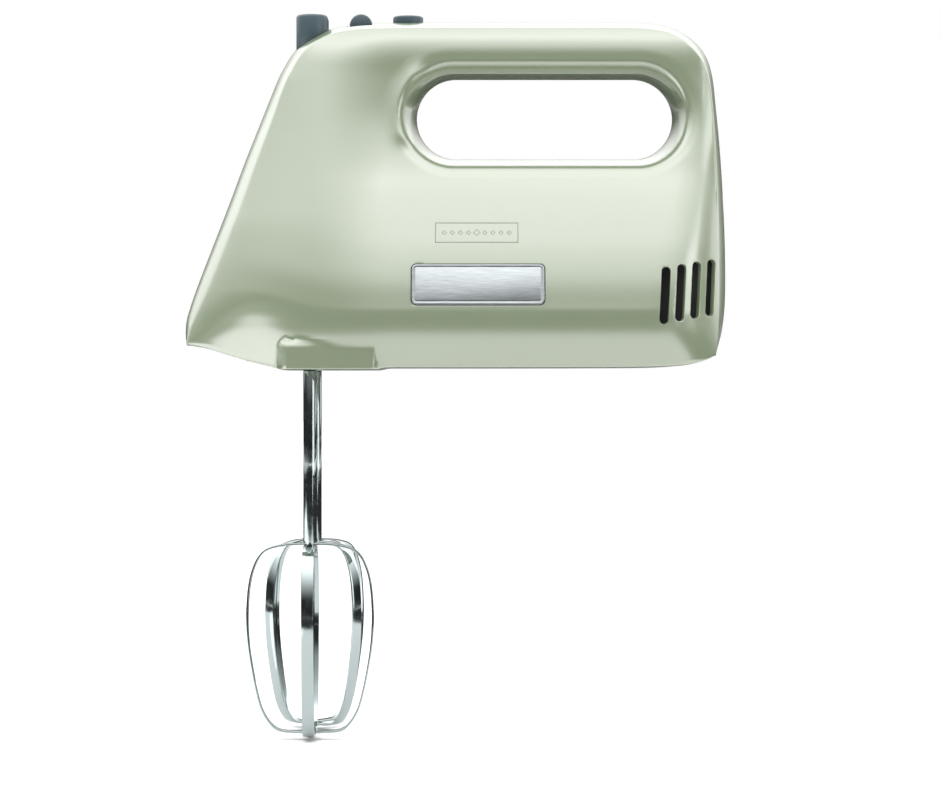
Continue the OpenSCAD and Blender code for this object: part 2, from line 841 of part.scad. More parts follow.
module spindle_clip(side) {
    color(steel)
        difference() {
            rod_z(spindle_r + 1.8, [cover_z1 + 0.2, cover_z1 + 1.2], spx, side * gy);
            rod_z(spindle_r, [cover_z1, cover_z1 + 2], spx, side * gy);
        }
}
module left_spindle() { spindle(-1); }
module right_spindle() { spindle(1); }
module left_worm_wheel() { worm_wheel(-1); }
module right_worm_wheel() { worm_wheel(1); }
module left_spindle_clip() { spindle_clip(-1); }
module right_spindle_clip() { spindle_clip(1); }

// Beaters: the right one stands an eighth of a turn from the left one
module at_beater(side) {
    translate([spx, side * gy, 0])
        rotate(side < 0 ? 0 : 45)
            children();
}
module beater_shaft(side) {
    color(steel)
        at_beater(side) {
            rod_z(beater_r, [beater_z0 + 1, beater_z1 - 1]);
            translate([0, 0, beater_z1 - 1])
                cylinder(r1 = beater_r, r2 = beater_r - 0.8, h = 1);
            translate([0, 0, beater_z0])
                cylinder(r1 = beater_r - 0.8, r2 = beater_r, h = 1);
            block([-lug_reach, lug_reach], [-lug_t / 2, lug_t / 2], lug_z);
        }
}
// Half of a loop's outline, from the top down, as [reach, height]
function loop_half(top, base) = let (h = top - base) [
    [3.5, top],
    [cage_r - 13.5, top - 0.4],
    [cage_r - 7.5, top - 1.9],
    [cage_r - 4.3, top - 4.8],
    [cage_r - 2.2, top - 9.3],
    [cage_r - 0.9, top - 14.5],
    [cage_r - 0.2, top - 0.31 * h],
    [cage_r, top - 0.42 * h],
    [cage_r - 0.5, base + 0.46 * h],
    [cage_r - 1.6, base + 0.35 * h],
    [cage_r - 3.2, base + 15.9],
    [cage_r - 5.3, base + 8.5],
    [cage_r - 8.5, base + 3.2],
    [cage_r - 12.2, base + 0.6],
    [3.5, base]
];
module loop(top, base) {
    outline = smooth(both_sides(loop_half(top, base)));
    rotate([90, 0, 0])
        linear_extrude(strip_w, center = true)
            difference() {
                polygon(outline);
                polygon(inset(outline, strip_t));
            }
}
module outer_loop(side) {
    color(steel)
        at_beater(side)
            loop(cage_z1, cage_z0);
}
// The inner loop passes below the outer one and ends in a small pressed point
module inner_loop(side) {
    top = cage_z1 - strip_t - 0.05;
    base = cage_z0 - strip_t - 0.05;
    color(steel)
        at_beater(side)
            rotate(90) {
                loop(top, base);
                translate([0, 0, base])
                    rotate([180, 0, 0])
                        cylinder(r1 = 1.6, r2 = 0.2, h = 0.9);
            }
}
module left_beater_shaft() { beater_shaft(-1); }
module right_beater_shaft() { beater_shaft(1); }
module left_outer_loop() { outer_loop(-1); }
module right_outer_loop() { outer_loop(1); }
module left_inner_loop() { inner_loop(-1); }
module right_inner_loop() { inner_loop(1); }

// Controls
module eject_button() {
    color(slate)
        difference() {
            translate([spx, 0, button_z0])
                linear_extrude(button_z1 - button_z0)
                    rotate(90)
                        stadium(eject_w, eject_d);
            rod_z(rod_r, [button_z0 - 1, button_z0 + 5], spx, 0);
        }
}
module eject_rod() {
    color(steel)
        rod_z(rod_r, [fork_z0 + 1, button_z0 + 5], spx, 0);
}
module eject_fork() {
    color(black)
        difference() {
            union() {
                block([spx - 5.5, spx + 5.5], [-gy - 4, gy + 4], [fork_z0, fork_z0 + fork_t]);
                for (s = [-1, 1])
                    rod_z(fork_pin_r, [beater_z1 + 0.05, fork_z0], spx, s * gy);
            }
            rod_z(rod_r, [fork_z0 + 1, fork_z0 + fork_t + 1], spx, 0);
        }
}
module eject_guide() {
    color(black)
        difference() {
            block([spx - 7, spx + 9], [-15.5, 15.5], guide_z);
            rod_z(rod_r + 0.2, [guide_z[0] - 1, guide_z[1] + 1], spx, 0);
        }
}
module eject_spring() {
    color(steel)
        translate([spx, 0, guide_z[1]])
            spring(rod_r + 1.4, 0.45, button_z0 - guide_z[1], 6);
}
module speed_tab() {
    r = tab_d / 2;
    color(slate)
        translate([tab_x, tab_travel / 2, 0])
            rotate([90, 0, 0])
                linear_extrude(tab_t, center = true) {
                    translate([-r, carriage_z[1]])
                        square([tab_d, tab_z1 - r - carriage_z[1]]);
                    translate([0, tab_z1 - r])
                        circle(r);
                }
}
module speed_carriage() {
    color(black)
        block([tab_x - 6, tab_x + 6], [tab_travel / 2 - 4, tab_travel / 2 + 4], carriage_z);
}
module speed_switch() {
    color(black)
        block([tab_x - 8, tab_x + 8], [-14, 14], switch_z);
}
module pulse_button() {
    color(slate)
        difference() {
            rod_z(pulse_r, [pulse_z0, pulse_z1], pulse_x, 0);
            translate([pulse_x, 0, pulse_z1 + 17.4])
                sphere(r = 18);
            rod_z(1.5, [pulse_z0 - 1, pulse_z0 + 3], pulse_x, 0);
        }
}
module pulse_plunger() {
    color(steel)
        rod_z(1.5, [pulse_switch_z[1] + 0.1 + pulse_travel, pulse_z0 + 3], pulse_x, 0);
}
module pulse_switch() {
    color(black)
        block([pulse_x - 6, pulse_x + 6], [-10, 10], pulse_switch_z);
}
module pulse_spring() {
    color(steel)
        translate([pulse_x, 0, pulse_switch_z[1]])
            spring(2.8, 0.35, pulse_z0 - pulse_switch_z[1], 5);
}

// Electrics
module circuit_board() {
    color("darkgreen")
        block(board_x, [-board_y, board_y], board_z);
}
module suppressor_capacitor() {
    color("khaki")
        block([board_x[0] + 4, board_x[0] + 22], [-7, 5], [board_z[1], board_z[1] + 5]);
}
module speed_triac() {
    color(black) {
        block([board_x[1] - 20, board_x[1] - 10], [-6, 6], [board_z[1], board_z[1] + 4.4]);
        block([board_x[1] - 10, board_x[1] - 8.5], [-9, 9], [board_z[1], board_z[1] + 5]);
    }
}
module inner_leads() {
    low = board_z[0];
    block_x = gland_x[0] - 8;
    riser_x = min(tab_x + 6, -open_l / 2 - wall - 2);
    color("white")
        for (y = [-5.5, 5.5]) {
            lead([[board_x[1] - 4, y, low - 0.9], [board_x[1] - 4, y, low - 6], [block_x - 5, y, low - 6],
                [block_x - 5, y, gland_z - 15], [block_x + 0.5, y, gland_z - 15]]);
            lead([[board_x[0] + 6, y, low - 0.9], [board_x[0] + 6, y, low - 5], [riser_x, y, low - 5],
                [riser_x, y, switch_z[0] - 0.9]]);
        }
}

// Fasteners
module screw(length) {
    difference() {
        union() {
            cylinder(r = screw_r, h = length);
            translate([0, 0, length])
                cylinder(r = head_r, h = 2);
        }
        translate([0, 0, length + 1])
            for (a = [0, 90])
                rotate(a)
                    translate([-head_r + 0.8, -0.4, 0])
                        cube([2 * head_r - 1.6, 0.8, 2]);
    }
}
module housing_screws() {
    color(steel)
        for (p = screw_places)
            translate([p[0], -12, p[1]])
                rotate([-90, 0, 0])
                    screw(20);
}
module gearbox_screws() {
    z0 = z_base + wall;
    color(steel)
        for (p = gearbox_places)
            translate([p[0], p[1], z0])
                screw(cover_z1 - z0);
}
module bracket_screws() {
    x0 = stator_x1 - 12;
    color(steel)
        for (s = [-1, 1])
            translate([x0, 0, zm + s * bracket_post_up])
                rotate([0, 90, 0])
                    screw(bracket_x[1] - x0);
}

left_housing();
right_housing();
badge_plate();
cord_gland();
cord_clamp();
terminal_block();
air_baffles();
gearbox_frame();
gearbox_cover();
lower_bushes();
upper_bushes();
front_bearing();
middle_bearing();
rear_bearing();
rear_bracket();
stator_core();
field_coils();
brush_holders();
carbon_brushes();
brush_springs();
speed_switch();
pulse_switch();
circuit_board();
suppressor_capacitor();
speed_triac();
eject_guide();
eject_spring();
pulse_spring();
inner_leads();
housing_screws();
gearbox_screws();
bracket_screws();
armature_shaft();
worm();
armature_core();
armature_windings();
commutator();
cooling_fan();
left_spindle();
left_worm_wheel();
left_spindle_clip();
right_spindle();
right_worm_wheel();
right_spindle_clip();
left_beater_shaft();
left_outer_loop();
left_inner_loop();
right_beater_shaft();
right_outer_loop();
right_inner_loop();
eject_button();
eject_rod();
eject_fork();
speed_tab();
speed_carriage();
pulse_button();
pulse_plunger();
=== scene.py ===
"""Hand mixer: the finished looks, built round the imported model. X runs from the nose to the heel, Z is up."""
import math

import bmesh
import bpy
import numpy as np
from mathutils import Matrix, Vector


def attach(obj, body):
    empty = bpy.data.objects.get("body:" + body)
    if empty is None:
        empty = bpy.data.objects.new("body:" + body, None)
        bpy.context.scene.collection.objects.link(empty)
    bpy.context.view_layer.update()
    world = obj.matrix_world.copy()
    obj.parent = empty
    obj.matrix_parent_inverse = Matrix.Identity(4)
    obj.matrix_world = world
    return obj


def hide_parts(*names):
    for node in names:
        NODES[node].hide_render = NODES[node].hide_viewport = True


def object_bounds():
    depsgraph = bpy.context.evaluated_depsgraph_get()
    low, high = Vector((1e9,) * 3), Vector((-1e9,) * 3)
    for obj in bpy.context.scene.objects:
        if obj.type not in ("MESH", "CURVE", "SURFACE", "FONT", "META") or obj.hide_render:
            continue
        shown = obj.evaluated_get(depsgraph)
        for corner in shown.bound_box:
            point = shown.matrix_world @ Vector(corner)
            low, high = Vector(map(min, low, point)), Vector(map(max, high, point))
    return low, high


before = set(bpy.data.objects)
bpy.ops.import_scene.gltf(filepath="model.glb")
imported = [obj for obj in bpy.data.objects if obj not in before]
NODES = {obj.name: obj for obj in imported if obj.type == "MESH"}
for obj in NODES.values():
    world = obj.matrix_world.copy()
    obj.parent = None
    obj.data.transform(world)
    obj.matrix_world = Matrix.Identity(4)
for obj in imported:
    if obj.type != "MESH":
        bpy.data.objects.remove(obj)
CAD_BOX = [list(p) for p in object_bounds()]
MM = 0.001

# ---------------------------------------------------------------- sizes and places, in millimetres
Z_BASE = -116.05                # underside of the body
Z_BELLY = -96.0                 # height of the widest line
BELLY_HALF_WIDTH = 39.0
BELLY_LIFT = 7.5                # how far the widest line climbs towards the nose
X_HEEL = 66.25
SPINDLE_X, BEATER_Y = -84.95, 20.0
TAB_X, TAB_REST_Y = -67.45, 8.0
PULSE_X = -49.95
GLAND_Z = -56.05
WALL = 1.5                      # thickness of the moulded shell

# the finger opening: a long round-ended hole, wider at its rim than in the middle plane
RIM_L, RIM_H, RIM_Z = 97.2, 31.2, -25.1
RIM_STRAIGHT = (RIM_L - RIM_H) / 2
RIM_HALF_WIDTH = 12.0
RIM_BREAK = 0.3                 # broken edge between the rim and the tunnel
HOLE_L, HOLE_H, HOLE_Z = 93.5, 29.7, -25.15
LIP_ROUND = 5.6
RIDGE = 1.1                     # fine ridge round the front end of the rim

# the gearbox boss below the belly
BOSS_FRONT, BOSS_REAR = -99.0, -62.0
BOSS_TOP = -104.0
BOSS_HALF_WIDTH = 36.9

# Edge of the side panel, as (x, z, how far the spine crowns beyond it, half width of the spine there)
SPINE_EDGE = [
    (-130.2, -107.6, 0.6, 11.0), (-129.6, -103.6, 1.8, 11.6), (-128.0, -99.6, 3.2, 12.2),
    (-124.9, -93.1, 4.3, 13.2), (-121.6, -85.8, 4.9, 14.2), (-118.6, -78.6, 5.1, 15.0),
    (-115.7, -71.4, 5.2, 15.6), (-112.9, -64.2, 5.2, 16.0), (-110.1, -56.9, 5.2, 16.0),
    (-104.9, -42.4, 5.0, 16.0), (-99.5, -28.0, 4.7, 16.0), (-94.1, -13.5, 4.3, 16.0),
    (-91.8, -8.4, 4.1, 15.8), (-88.7, -3.1, 3.9, 15.5), (-85.0, 0.5, 3.7, 15.2),
    (-80.2, 3.3, 3.4, 15.0), (-75.4, 5.1, 3.2, 14.8), (-70.2, 6.1, 3.1, 14.6),
    (-62.0, 6.7, 3.2, 14.5), (-40.0, 6.9, 3.3, 14.5), (-10.0, 6.9, 3.4, 14.5), (20.0, 6.9, 3.4, 14.5),
    (34.0, 6.7, 3.4, 14.6), (43.0, 5.4, 3.6, 14.8), (48.9, 2.7, 3.8, 15.0), (53.0, -0.5, 3.8, 15.2),
    (55.7, -3.6, 3.5, 15.4), (57.4, -6.6, 3.1, 15.6), (58.7, -10.4, 2.7, 15.8), (59.6, -14.8, 2.4, 16.0),
    (60.3, -21.0, 2.3, 16.3), (61.0, -32.0, 2.7, 17.2), (61.5, -45.0, 3.2, 18.4), (61.9, -60.0, 3.6, 20.0),
    (62.1, -76.0, 3.9, 21.6), (62.1, -92.0, 3.8, 22.8), (61.9, -102.0, 2.9, 23.2), (61.5, -108.0, 1.7, 23.2),
    (61.1, -111.7, 0.7, 23.0),
]
# Lower edge of the side panel, from the heel back to the nose, as (x, z)
LOWER_EDGE = [
    (61.1, -111.7), (58.4, -113.1), (54.9, -114.2), (49.5, -115.1), (38.7, -115.8), (20.0, -116.0),
    (-20.0, -116.1), (-52.0, -116.1), (-57.6, -116.2), (-60.2, -116.7), (-64.0, -116.8), (-80.0, -116.8),
    (-92.0, -116.8), (-95.4, -116.7), (-98.0, -116.0), (-101.4, -115.1), (-106.6, -113.8),
    (-112.2, -112.2), (-117.5, -110.6), (-123.2, -108.9), (-130.2, -107.6),
]
# Half width against height: through the handle, and through the full front of the body
HANDLE_SECTION = [
    (-96, 39.0), (-86, 37.6), (-75.3, 34.9), (-64.7, 31.4), (-54, 27.6), (-44, 23.9), (-34.4, 21.2),
    (-25, 19.4), (-14, 18.5), (-4, 18.2), (14, 18.2),
]
FRONT_SECTION = [
    (-96, 39.0), (-86, 38.2), (-77, 36.8), (-65, 34.5), (-45, 30.0), (-25, 25.6), (0, 20.2), (14, 17.6),
]


# ---------------------------------------------------------------- curves
def catmull(p, n, closed=False):
    """A smooth curve through the rows of p, with n steps between neighbours."""
    p = np.asarray(p, float)
    if not closed:
        p = np.vstack([2 * p[0] - p[1], p, 2 * p[-1] - p[-2]])
        spans = range(1, len(p) - 2)
    else:
        spans = range(len(p))
    m = len(p)
    out = []
    for i in spans:
        a, b, c, d = p[(i - 1) % m], p[i % m], p[(i + 1) % m], p[(i + 2) % m]
        for k in range(n):
            t = k / n
            out.append(0.5 * (2 * b + (c - a) * t + (2 * a - 5 * b + 4 * c - d) * t * t
                              + (3 * b - a - 3 * c + d) * t ** 3))
    if not closed:
        out.append(p[-2])
    return np.array(out)


def table(rows, z):
    """Smooth lookup in rows of (z, value)."""
    c = catmull(rows, 12)
    return np.interp(z, c[:, 0], c[:, 1])


def spread(curve, weights, n):
    """n points along a curve, closer together where weights is larger."""
    step = np.linalg.norm(np.diff(curve[:, :2], axis=0), axis=1)
    w = 0.5 * (weights[1:] + weights[:-1])
    s = np.concatenate([[0], np.cumsum(step * w)])
    t = np.linspace(0, s[-1], n)
    return np.stack([np.interp(t, s, curve[:, k]) for k in range(curve.shape[1])], axis=1)


def smooth_step(t):
    """0 below 0, 1 above 1, and a soft climb between."""
    t = np.clip(t, 0, 1)
    return t * t * t * (t * (6 * t - 15) + 10)


def smooth_min(a, b, k):
    """The smaller of a and b, rounded over k where they meet."""
    h = np.clip(0.5 + 0.5 * (b - a) / k, 0, 1)
    return b + (a - b) * h - k * h * (1 - h)


def smooth_max(a, b, k):
    return -smooth_min(-a, -b, k)


def ring_tangents(ring):
    """Unit tangents of a closed ring of points."""
    t = np.roll(ring, -1, axis=0) - np.roll(ring, 1, axis=0)
    return t / np.maximum(np.linalg.norm(t, axis=1), 1e-9)[:, None]


# ---------------------------------------------------------------- shape of the side panel
EDGE = catmull(SPINE_EDGE, 16)
LOWER = catmull(LOWER_EDGE, 12)


def spine_half_width(x, z):
    """Half width of the spine beside a point of the side view."""
    front = EDGE[:, 0] < -60
    rear = EDGE[:, 0] > 30
    ahead = np.interp(z, EDGE[front, 1], EDGE[front, 3])
    behind = np.interp(-z, -EDGE[rear, 1], EDGE[rear, 3])
    t = smooth_step((x + 70) / 110)
    return ahead * (1 - t) + behind * t


def base_height(x):
    """Height of the panel's lower edge."""
    c = LOWER[::-1]
    return np.interp(x, c[:, 0], c[:, 1])


def section_half_width(x, z):
    """Half width of the body's own cross-section, before the spine cuts into it."""
    front = 1 - smooth_step((x + 88) / 38)
    lift = BELLY_LIFT * smooth_step((-70 - x) / 45)
    belly = Z_BELLY + lift
    level = z - lift * np.clip((z + 30) / (belly + 30), 0, 1)
    width = front * table(FRONT_SECTION, level) + (1 - front) * table(HANDLE_SECTION, level)
    reach = np.maximum(belly - base_height(x), 4)
    below = np.clip((belly - z) / reach, 0, 1.3)
    tuck = 0.25 + 0.22 * smooth_step((-85 - x) / 25)
    return np.where(z < belly, BELLY_HALF_WIDTH - tuck * reach * below * below, width)


def rise_from(distance, depth):
    """Share of its full width that the body has gained at a distance in from the spine."""
    return 1 - (1 - np.clip(distance / (1.2 * depth), 0, 1)) ** 3


def gain_from_edges(x, z):
    """Share of its full width that the body has gained beside the nose, the heel and the top."""
    from_front = (x + 128.0) * 0.9295 - (z + 99.6) * 0.369
    from_rear = 60.2 + 1.9 * smooth_step((-20 - z) / 60) - x
    from_top = 6.9 - z
    return rise_from(from_front, np.interp(z, [-100, 5], [54, 16])) \
        * rise_from(from_rear, np.interp(z, [-100, -40, 5], [25, 13, 11])) \
        * rise_from(from_top, 12.5)


def front_of_rim(x, z):
    """1 beside the front end of the finger opening, and 0 along its top, its floor and its rear end."""
    centre = np.where(x < 0, 1, -1) * RIM_STRAIGHT
    angle = np.degrees(np.arctan2(z - RIM_Z, x + centre))
    turn = angle % 360
    return smooth_step((np.abs(angle) - 110) / 30) * smooth_step((turn - 100) / 20) \
        * (1 - smooth_step((turn - 195) / 25)) * (x < -20)


def with_lip(width, x, z):
    """The half width drawn in to the rim of the finger opening."""
    dx = np.maximum(np.abs(x) - RIM_STRAIGHT, 0)
    outside = np.hypot(dx, z - RIM_Z) - RIM_H / 2
    at_front = front_of_rim(x, z)
    u = np.clip(outside / LIP_ROUND, 0, 3)
    climb = np.where(u < 1, 1 - (1 - u) ** 2, 1 + 0.35 * (u - 1))
    lip = RIM_HALF_WIDTH + (width - RIM_HALF_WIDTH + 1.0) * climb
    fade = 1 - np.clip((outside - 5.0) / 6.5, 0, 1)
    ridged = width + RIDGE * at_front * fade ** 2 * (outside > 0)
    return smooth_min(ridged, lip, 2.6 - 2.2 * at_front)


def with_boss(width, x, z):
    """The half width let out to the gearbox boss, which stands straight down where the body rolls under."""
    along = smooth_step((x - BOSS_FRONT) / 7.0) * (1 - smooth_step((x - BOSS_REAR) / 3.2))
    share = along * smooth_step((BOSS_TOP - z) / 4.5)
    flank = (width - 2.5) * (1 - share) + BOSS_HALF_WIDTH * share
    return smooth_max(width, flank, 0.4)


def panel_half_width(x, z):
    """Half width of the body at a point of the side view."""
    at_spine = spine_half_width(x, z)
    rise = np.maximum(section_half_width(x, z) - at_spine, 0)
    width = at_spine + rise * gain_from_edges(x, z)
    return with_boss(with_lip(width, x, z), x, z)


# ---------------------------------------------------------------- meshes
def mesh_object(name, verts, faces, mat, smooth=True):
    """A piece from points in millimetres."""
    me = bpy.data.meshes.new(name)
    points = [tuple(float(c) * MM for c in v) for v in verts]
    me.from_pydata(points, [], [tuple(int(i) for i in f) for f in faces])
    me.validate()
    me.update()
    ob = bpy.data.objects.new(name, me)
    bpy.context.scene.collection.objects.link(ob)
    if mat:
        me.materials.append(mat)
    if smooth:
        me.polygons.foreach_set("use_smooth", [True] * len(me.polygons))
    return ob


def outward(ob):
    """Turns all faces of a closed piece outwards."""
    bm = bmesh.new()
    bm.from_mesh(ob.data)
    bmesh.ops.recalc_face_normals(bm, faces=bm.faces)
    bm.to_mesh(ob.data)
    bm.free()


def apply_modifiers(ob):
    """Makes the result of a piece's modifiers its own mesh."""
    dg = bpy.context.evaluated_depsgraph_get()
    me = bpy.data.meshes.new_from_object(ob.evaluated_get(dg))
    old = ob.data
    ob.modifiers.clear()
    ob.data = me
    me.name = ob.name
    bpy.data.meshes.remove(old)


def sharpen(ob, angle):
    """Smooth shading, with an edge wherever faces meet at more than the angle."""
    ob.data.polygons.foreach_set("use_smooth", [True] * len(ob.data.polygons))
    ob.data.set_sharp_from_angle(angle=math.radians(angle))


def tube_faces(rings, around, start=0):
    """Faces between rings of points that follow each other, each ring closed."""
    faces = []
    for j in range(rings - 1):
        for i in range(around):
            a, b = start + j * around + i, start + j * around + (i + 1) % around
            faces.append((a, b, b + around, a + around))
    return faces


def stacked_piece(name, rings, mat):
    """A closed piece from rings of equally many points, with a flat face at each end."""
    n = len(rings[0])
    top = (len(rings) - 1) * n
    faces = tube_faces(len(rings), n)
    faces.append(tuple(range(n))[::-1])
    faces.append(tuple(range(top, top + n)))
    return mesh_object(name, [p for ring in rings for p in ring], faces, mat)


def prism(name, outline, low, high, matrix):
    """A closed straight-sided cutter from an outline, between two heights."""
    n = len(outline)
    verts = [matrix @ Vector((p[0], p[1], h)) for h in (low, high) for p in outline]
    faces = [tuple(range(n))[::-1], tuple(range(n, 2 * n))]
    faces += [(i, (i + 1) % n, n + (i + 1) % n, n + i) for i in range(n)]
    ob = mesh_object(name, verts, faces, None, smooth=False)
    outward(ob)
    return ob


def stadium_outline(length, height, n=28):
    """A round-ended slot."""
    r = height / 2
    half = length / 2 - r
    out = []
    for s in (1, -1):
        for k in range(n + 1):
            q = -math.pi / 2 + math.pi * k / n
            out.append((s * (half + r * math.cos(q)), s * r * math.sin(q)))
    return out


def circle_outline(r, n=40):
    return [(r * math.cos(2 * math.pi * k / n), r * math.sin(2 * math.pi * k / n)) for k in range(n)]


def rounded_outline(length, height, r, n=8):
    """A rectangle with rounded corners."""
    out = []
    for sx, sy, start in ((1, 1, 0), (-1, 1, 90), (-1, -1, 180), (1, -1, 270)):
        for k in range(n + 1):
            q = math.radians(start + 90 * k / n)
            out.append((sx * (length / 2 - r) + r * math.cos(q), sy * (height / 2 - r) + r * math.sin(q)))
    return out


def moved(x=0.0, y=0.0, z=0.0):
    return Matrix.Translation((x, y, z))


def turned(degrees, axis):
    return Matrix.Rotation(math.radians(degrees), 4, axis)


# ---------------------------------------------------------------- half of the body
AROUND = 520            # points round the panel
LIP_RINGS = 22
LIP_REACH = 8.5
FIELD_RINGS = 60
BELT_RINGS = 15         # rings from the panel to the middle plane
CHAMFER = 0.35
BASE_CROWN = 0.25       # how far the underside bulges below the panel's lower edge
END_SHARE = 0.24        # share of the way round that each round end of the opening takes
# places on the panel's edge that are tied to the nearest point of the opening, from the nose over the top
STATIONS = [
    (-130.2, -107.6), (-84.0, 1.5), (-40.0, 6.9), (33.0, 6.7), (53.0, -0.5), (59.6, -14.8),
    (61.0, -32.0), (61.1, -111.7), (0.0, -116.0), (-80.0, -116.8),
]


def outer_loop_points():
    """Edge of the side panel as a closed loop of (x, z, crown, half width), denser where it bends."""
    rows = [tuple(p) for p in EDGE]
    lower = [(p[0], p[1], 0.0, 0.0) for p in LOWER[1:-1]]
    loop = np.array(rows + lower + [rows[0]])
    x, z = loop[:, 0], loop[:, 1]
    weights = np.ones(len(loop))
    at_boss = (x > -102) & (x < -52) & (z < -110)
    at_tips = (np.abs(x - 60) < 8) & (z < -104) | (x < -124)
    weights[at_boss] = 2.6
    weights[at_tips] = 1.8
    weights[z > -16] = 1.3
    return spread(loop, weights, AROUND + 1)[:-1]


def stadium_point(share, length, height, mid_z, grow=0.0):
    """The point at a share of the way round a stadium: front end, top, rear end, floor."""
    half = (length - height) / 2
    r = height / 2 + grow
    share %= 1.0
    if share < END_SHARE:
        q = -math.pi / 2 - math.pi * share / END_SHARE
        return (-half + r * math.cos(q), mid_z + r * math.sin(q))
    if share < 0.5:
        return (half * (2 * (share - END_SHARE) / (0.5 - END_SHARE) - 1), mid_z + r)
    if share < 0.5 + END_SHARE:
        q = math.pi / 2 - math.pi * (share - 0.5) / END_SHARE
        return (half + r * math.cos(q), mid_z + r * math.sin(q))
    return (half * (1 - 2 * (share - 0.5 - END_SHARE) / (0.5 - END_SHARE)), mid_z - r)


def share_of(x, z):
    """Share of the way round the opening that lies nearest to a point outside it."""
    half = RIM_STRAIGHT
    if abs(x) <= half:
        along = (x / half + 1) / 2 if z > RIM_Z else (1 - x / half) / 2
        return (END_SHARE if z > RIM_Z else 0.5 + END_SHARE) + along * (0.5 - END_SHARE)
    if x < 0:
        return END_SHARE * ((-math.pi / 2 - math.atan2(z - RIM_Z, x + half)) % (2 * math.pi)) / math.pi
    return 0.5 + END_SHARE * (math.pi / 2 - math.atan2(z - RIM_Z, x - half)) / math.pi


def opening_shares(outer):
    """For each point of the edge, its share of the way round the opening, by arc length between stations."""
    marks = [int(np.argmin((outer[:, 0] - x) ** 2 + (outer[:, 1] - z) ** 2)) for x, z in STATIONS]
    shares = [share_of(x, z) for x, z in STATIONS]
    round_again = [k > len(STATIONS) / 2 and s < END_SHARE for k, s in enumerate(shares)]
    shares = [s + again for s, again in zip(shares, round_again)] + [shares[0] + 1]
    step = np.linalg.norm(np.diff(np.vstack([outer, outer[:1]])[:, :2], axis=0), axis=1)
    arc = np.concatenate([[0], np.cumsum(step)])
    return np.interp(arc[:-1], list(arc[marks]) + [arc[-1]], shares)


def edge_normals(outer):
    """Normals of the panel's edge in the side view, away from the body."""
    tangent = ring_tangents(outer[:, :2])
    normal = np.stack([-tangent[:, 1], tangent[:, 0]], axis=1)
    if (normal[:, 1] * (outer[:, 1] - RIM_Z)).sum() < 0:
        normal = -normal
    return normal


def panel_rings(outer, normal, shares):
    """Rings of (x, z) from the rim of the opening to the chamfer at the panel's edge."""
    rings = []
    for j in range(LIP_RINGS + 1):
        grow = LIP_REACH * (j / LIP_RINGS) ** 1.25
        rings.append(np.array([stadium_point(s, RIM_L, RIM_H, RIM_Z, grow) for s in shares]))
    lip = rings[-1]
    last = outer[:, :2] - normal * CHAMFER
    for j in range(1, FIELD_RINGS + 1):
        rings.append(lip + (last - lip) * (j / FIELD_RINGS))
    return np.stack(rings)


def belt_to_middle(ring, half_width, first_share, direction, bow):
    """Rings from the panel to the middle plane, bowed in a direction as their share of the width falls."""
    belt = []
    for k in range(BELT_RINGS):
        share = np.full(AROUND, 1 - k / (BELT_RINGS - 1)) if k else first_share
        p = ring + direction * (bow * (1 - share ** 2))[:, None]
        belt.append(np.stack([p[:, 0], -half_width * share, p[:, 1]], axis=-1))
    belt[-1][:, 1] = 0
    return np.stack(belt).reshape(-1, 3)


def join_rings(first, second):
    """Faces between two rings of the body, given by the places of their first points."""
    ends = [(i, (i + 1) % AROUND) for i in range(AROUND)]
    return [(first + a, first + b, second + b, second + a) for a, b in ends]


def half_body():
    """Left half of the body, flat on the middle plane: points, faces, and the faces of that flat cap."""
    outer = outer_loop_points()
    normal = edge_normals(outer)
    shares = opening_shares(outer)
    rings = panel_rings(outer, normal, shares)
    x, z = rings[..., 0], rings[..., 1]
    panel = np.stack([x, -panel_half_width(x, z), z], axis=-1).reshape(-1, 3)

    edge_width = panel_half_width(outer[:, 0], outer[:, 1])
    crown = np.where(outer[:, 2] <= 0.0, BASE_CROWN, outer[:, 2])
    spine = belt_to_middle(outer[:, :2], edge_width, 1 - CHAMFER / np.maximum(edge_width, 1), normal, crown)

    rim = rings[0]
    rim_width = panel_half_width(rim[:, 0], rim[:, 1])
    hole = np.array([stadium_point(s, HOLE_L, HOLE_H, HOLE_Z) for s in shares])
    rim_share = np.full(AROUND, 1 - RIM_BREAK / RIM_HALF_WIDTH)
    tunnel = belt_to_middle(rim, rim_width, rim_share, hole - rim, 1.0)

    # the rings of the panel and the spine follow each other, and the tunnel hangs on the first of them
    tunnel_start = (len(rings) + BELT_RINGS) * AROUND
    faces = tube_faces(len(rings) + BELT_RINGS, AROUND)
    faces += [f[::-1] for f in join_rings(0, tunnel_start)]
    faces += [f[::-1] for f in tube_faces(BELT_RINGS, AROUND, tunnel_start)]
    cap = join_rings(tunnel_start - AROUND, tunnel_start + (BELT_RINGS - 1) * AROUND)
    return np.vstack([panel, spine, tunnel]), faces, cap


# ---------------------------------------------------------------- housing
SIDEWAYS = turned(90, "X")
ACROSS = turned(90, "Z")
VENTS = [(X_HEEL - 7.4 - (3 - i) * 5.6, Z_BASE + 25.4 + i) for i in range(4)]
VENT_L, VENT_W, VENT_LEAN = 20.5, 3.3, 3
EJECT_SLOT_L, EJECT_SLOT_W = 22.6, 12.0
TAB_SLOT_L, TAB_SLOT_W, TAB_SLOT_CORNER = 20.4, 9.2, 0.6
PULSE_HOLE_R, SPINDLE_HOLE_R, GLAND_HOLE_R = 5.8, 6.0, 6.55
SCREWS = [(-115.35, Z_BASE + 13), (-97.35, -25.65), (-56.25, -49.05), (54.75, -11.65), (56.25, Z_BASE + 12)]
SCREW_HOLE_R = 3.2
BADGE_X, BADGE_Z = -24.45, -86.75
BADGE_L, BADGE_H, BADGE_CORNER = 47.3, 14.6, 1.8
BADGE_CLEARANCE = 0.3   # gap between the badge and its pocket, all round
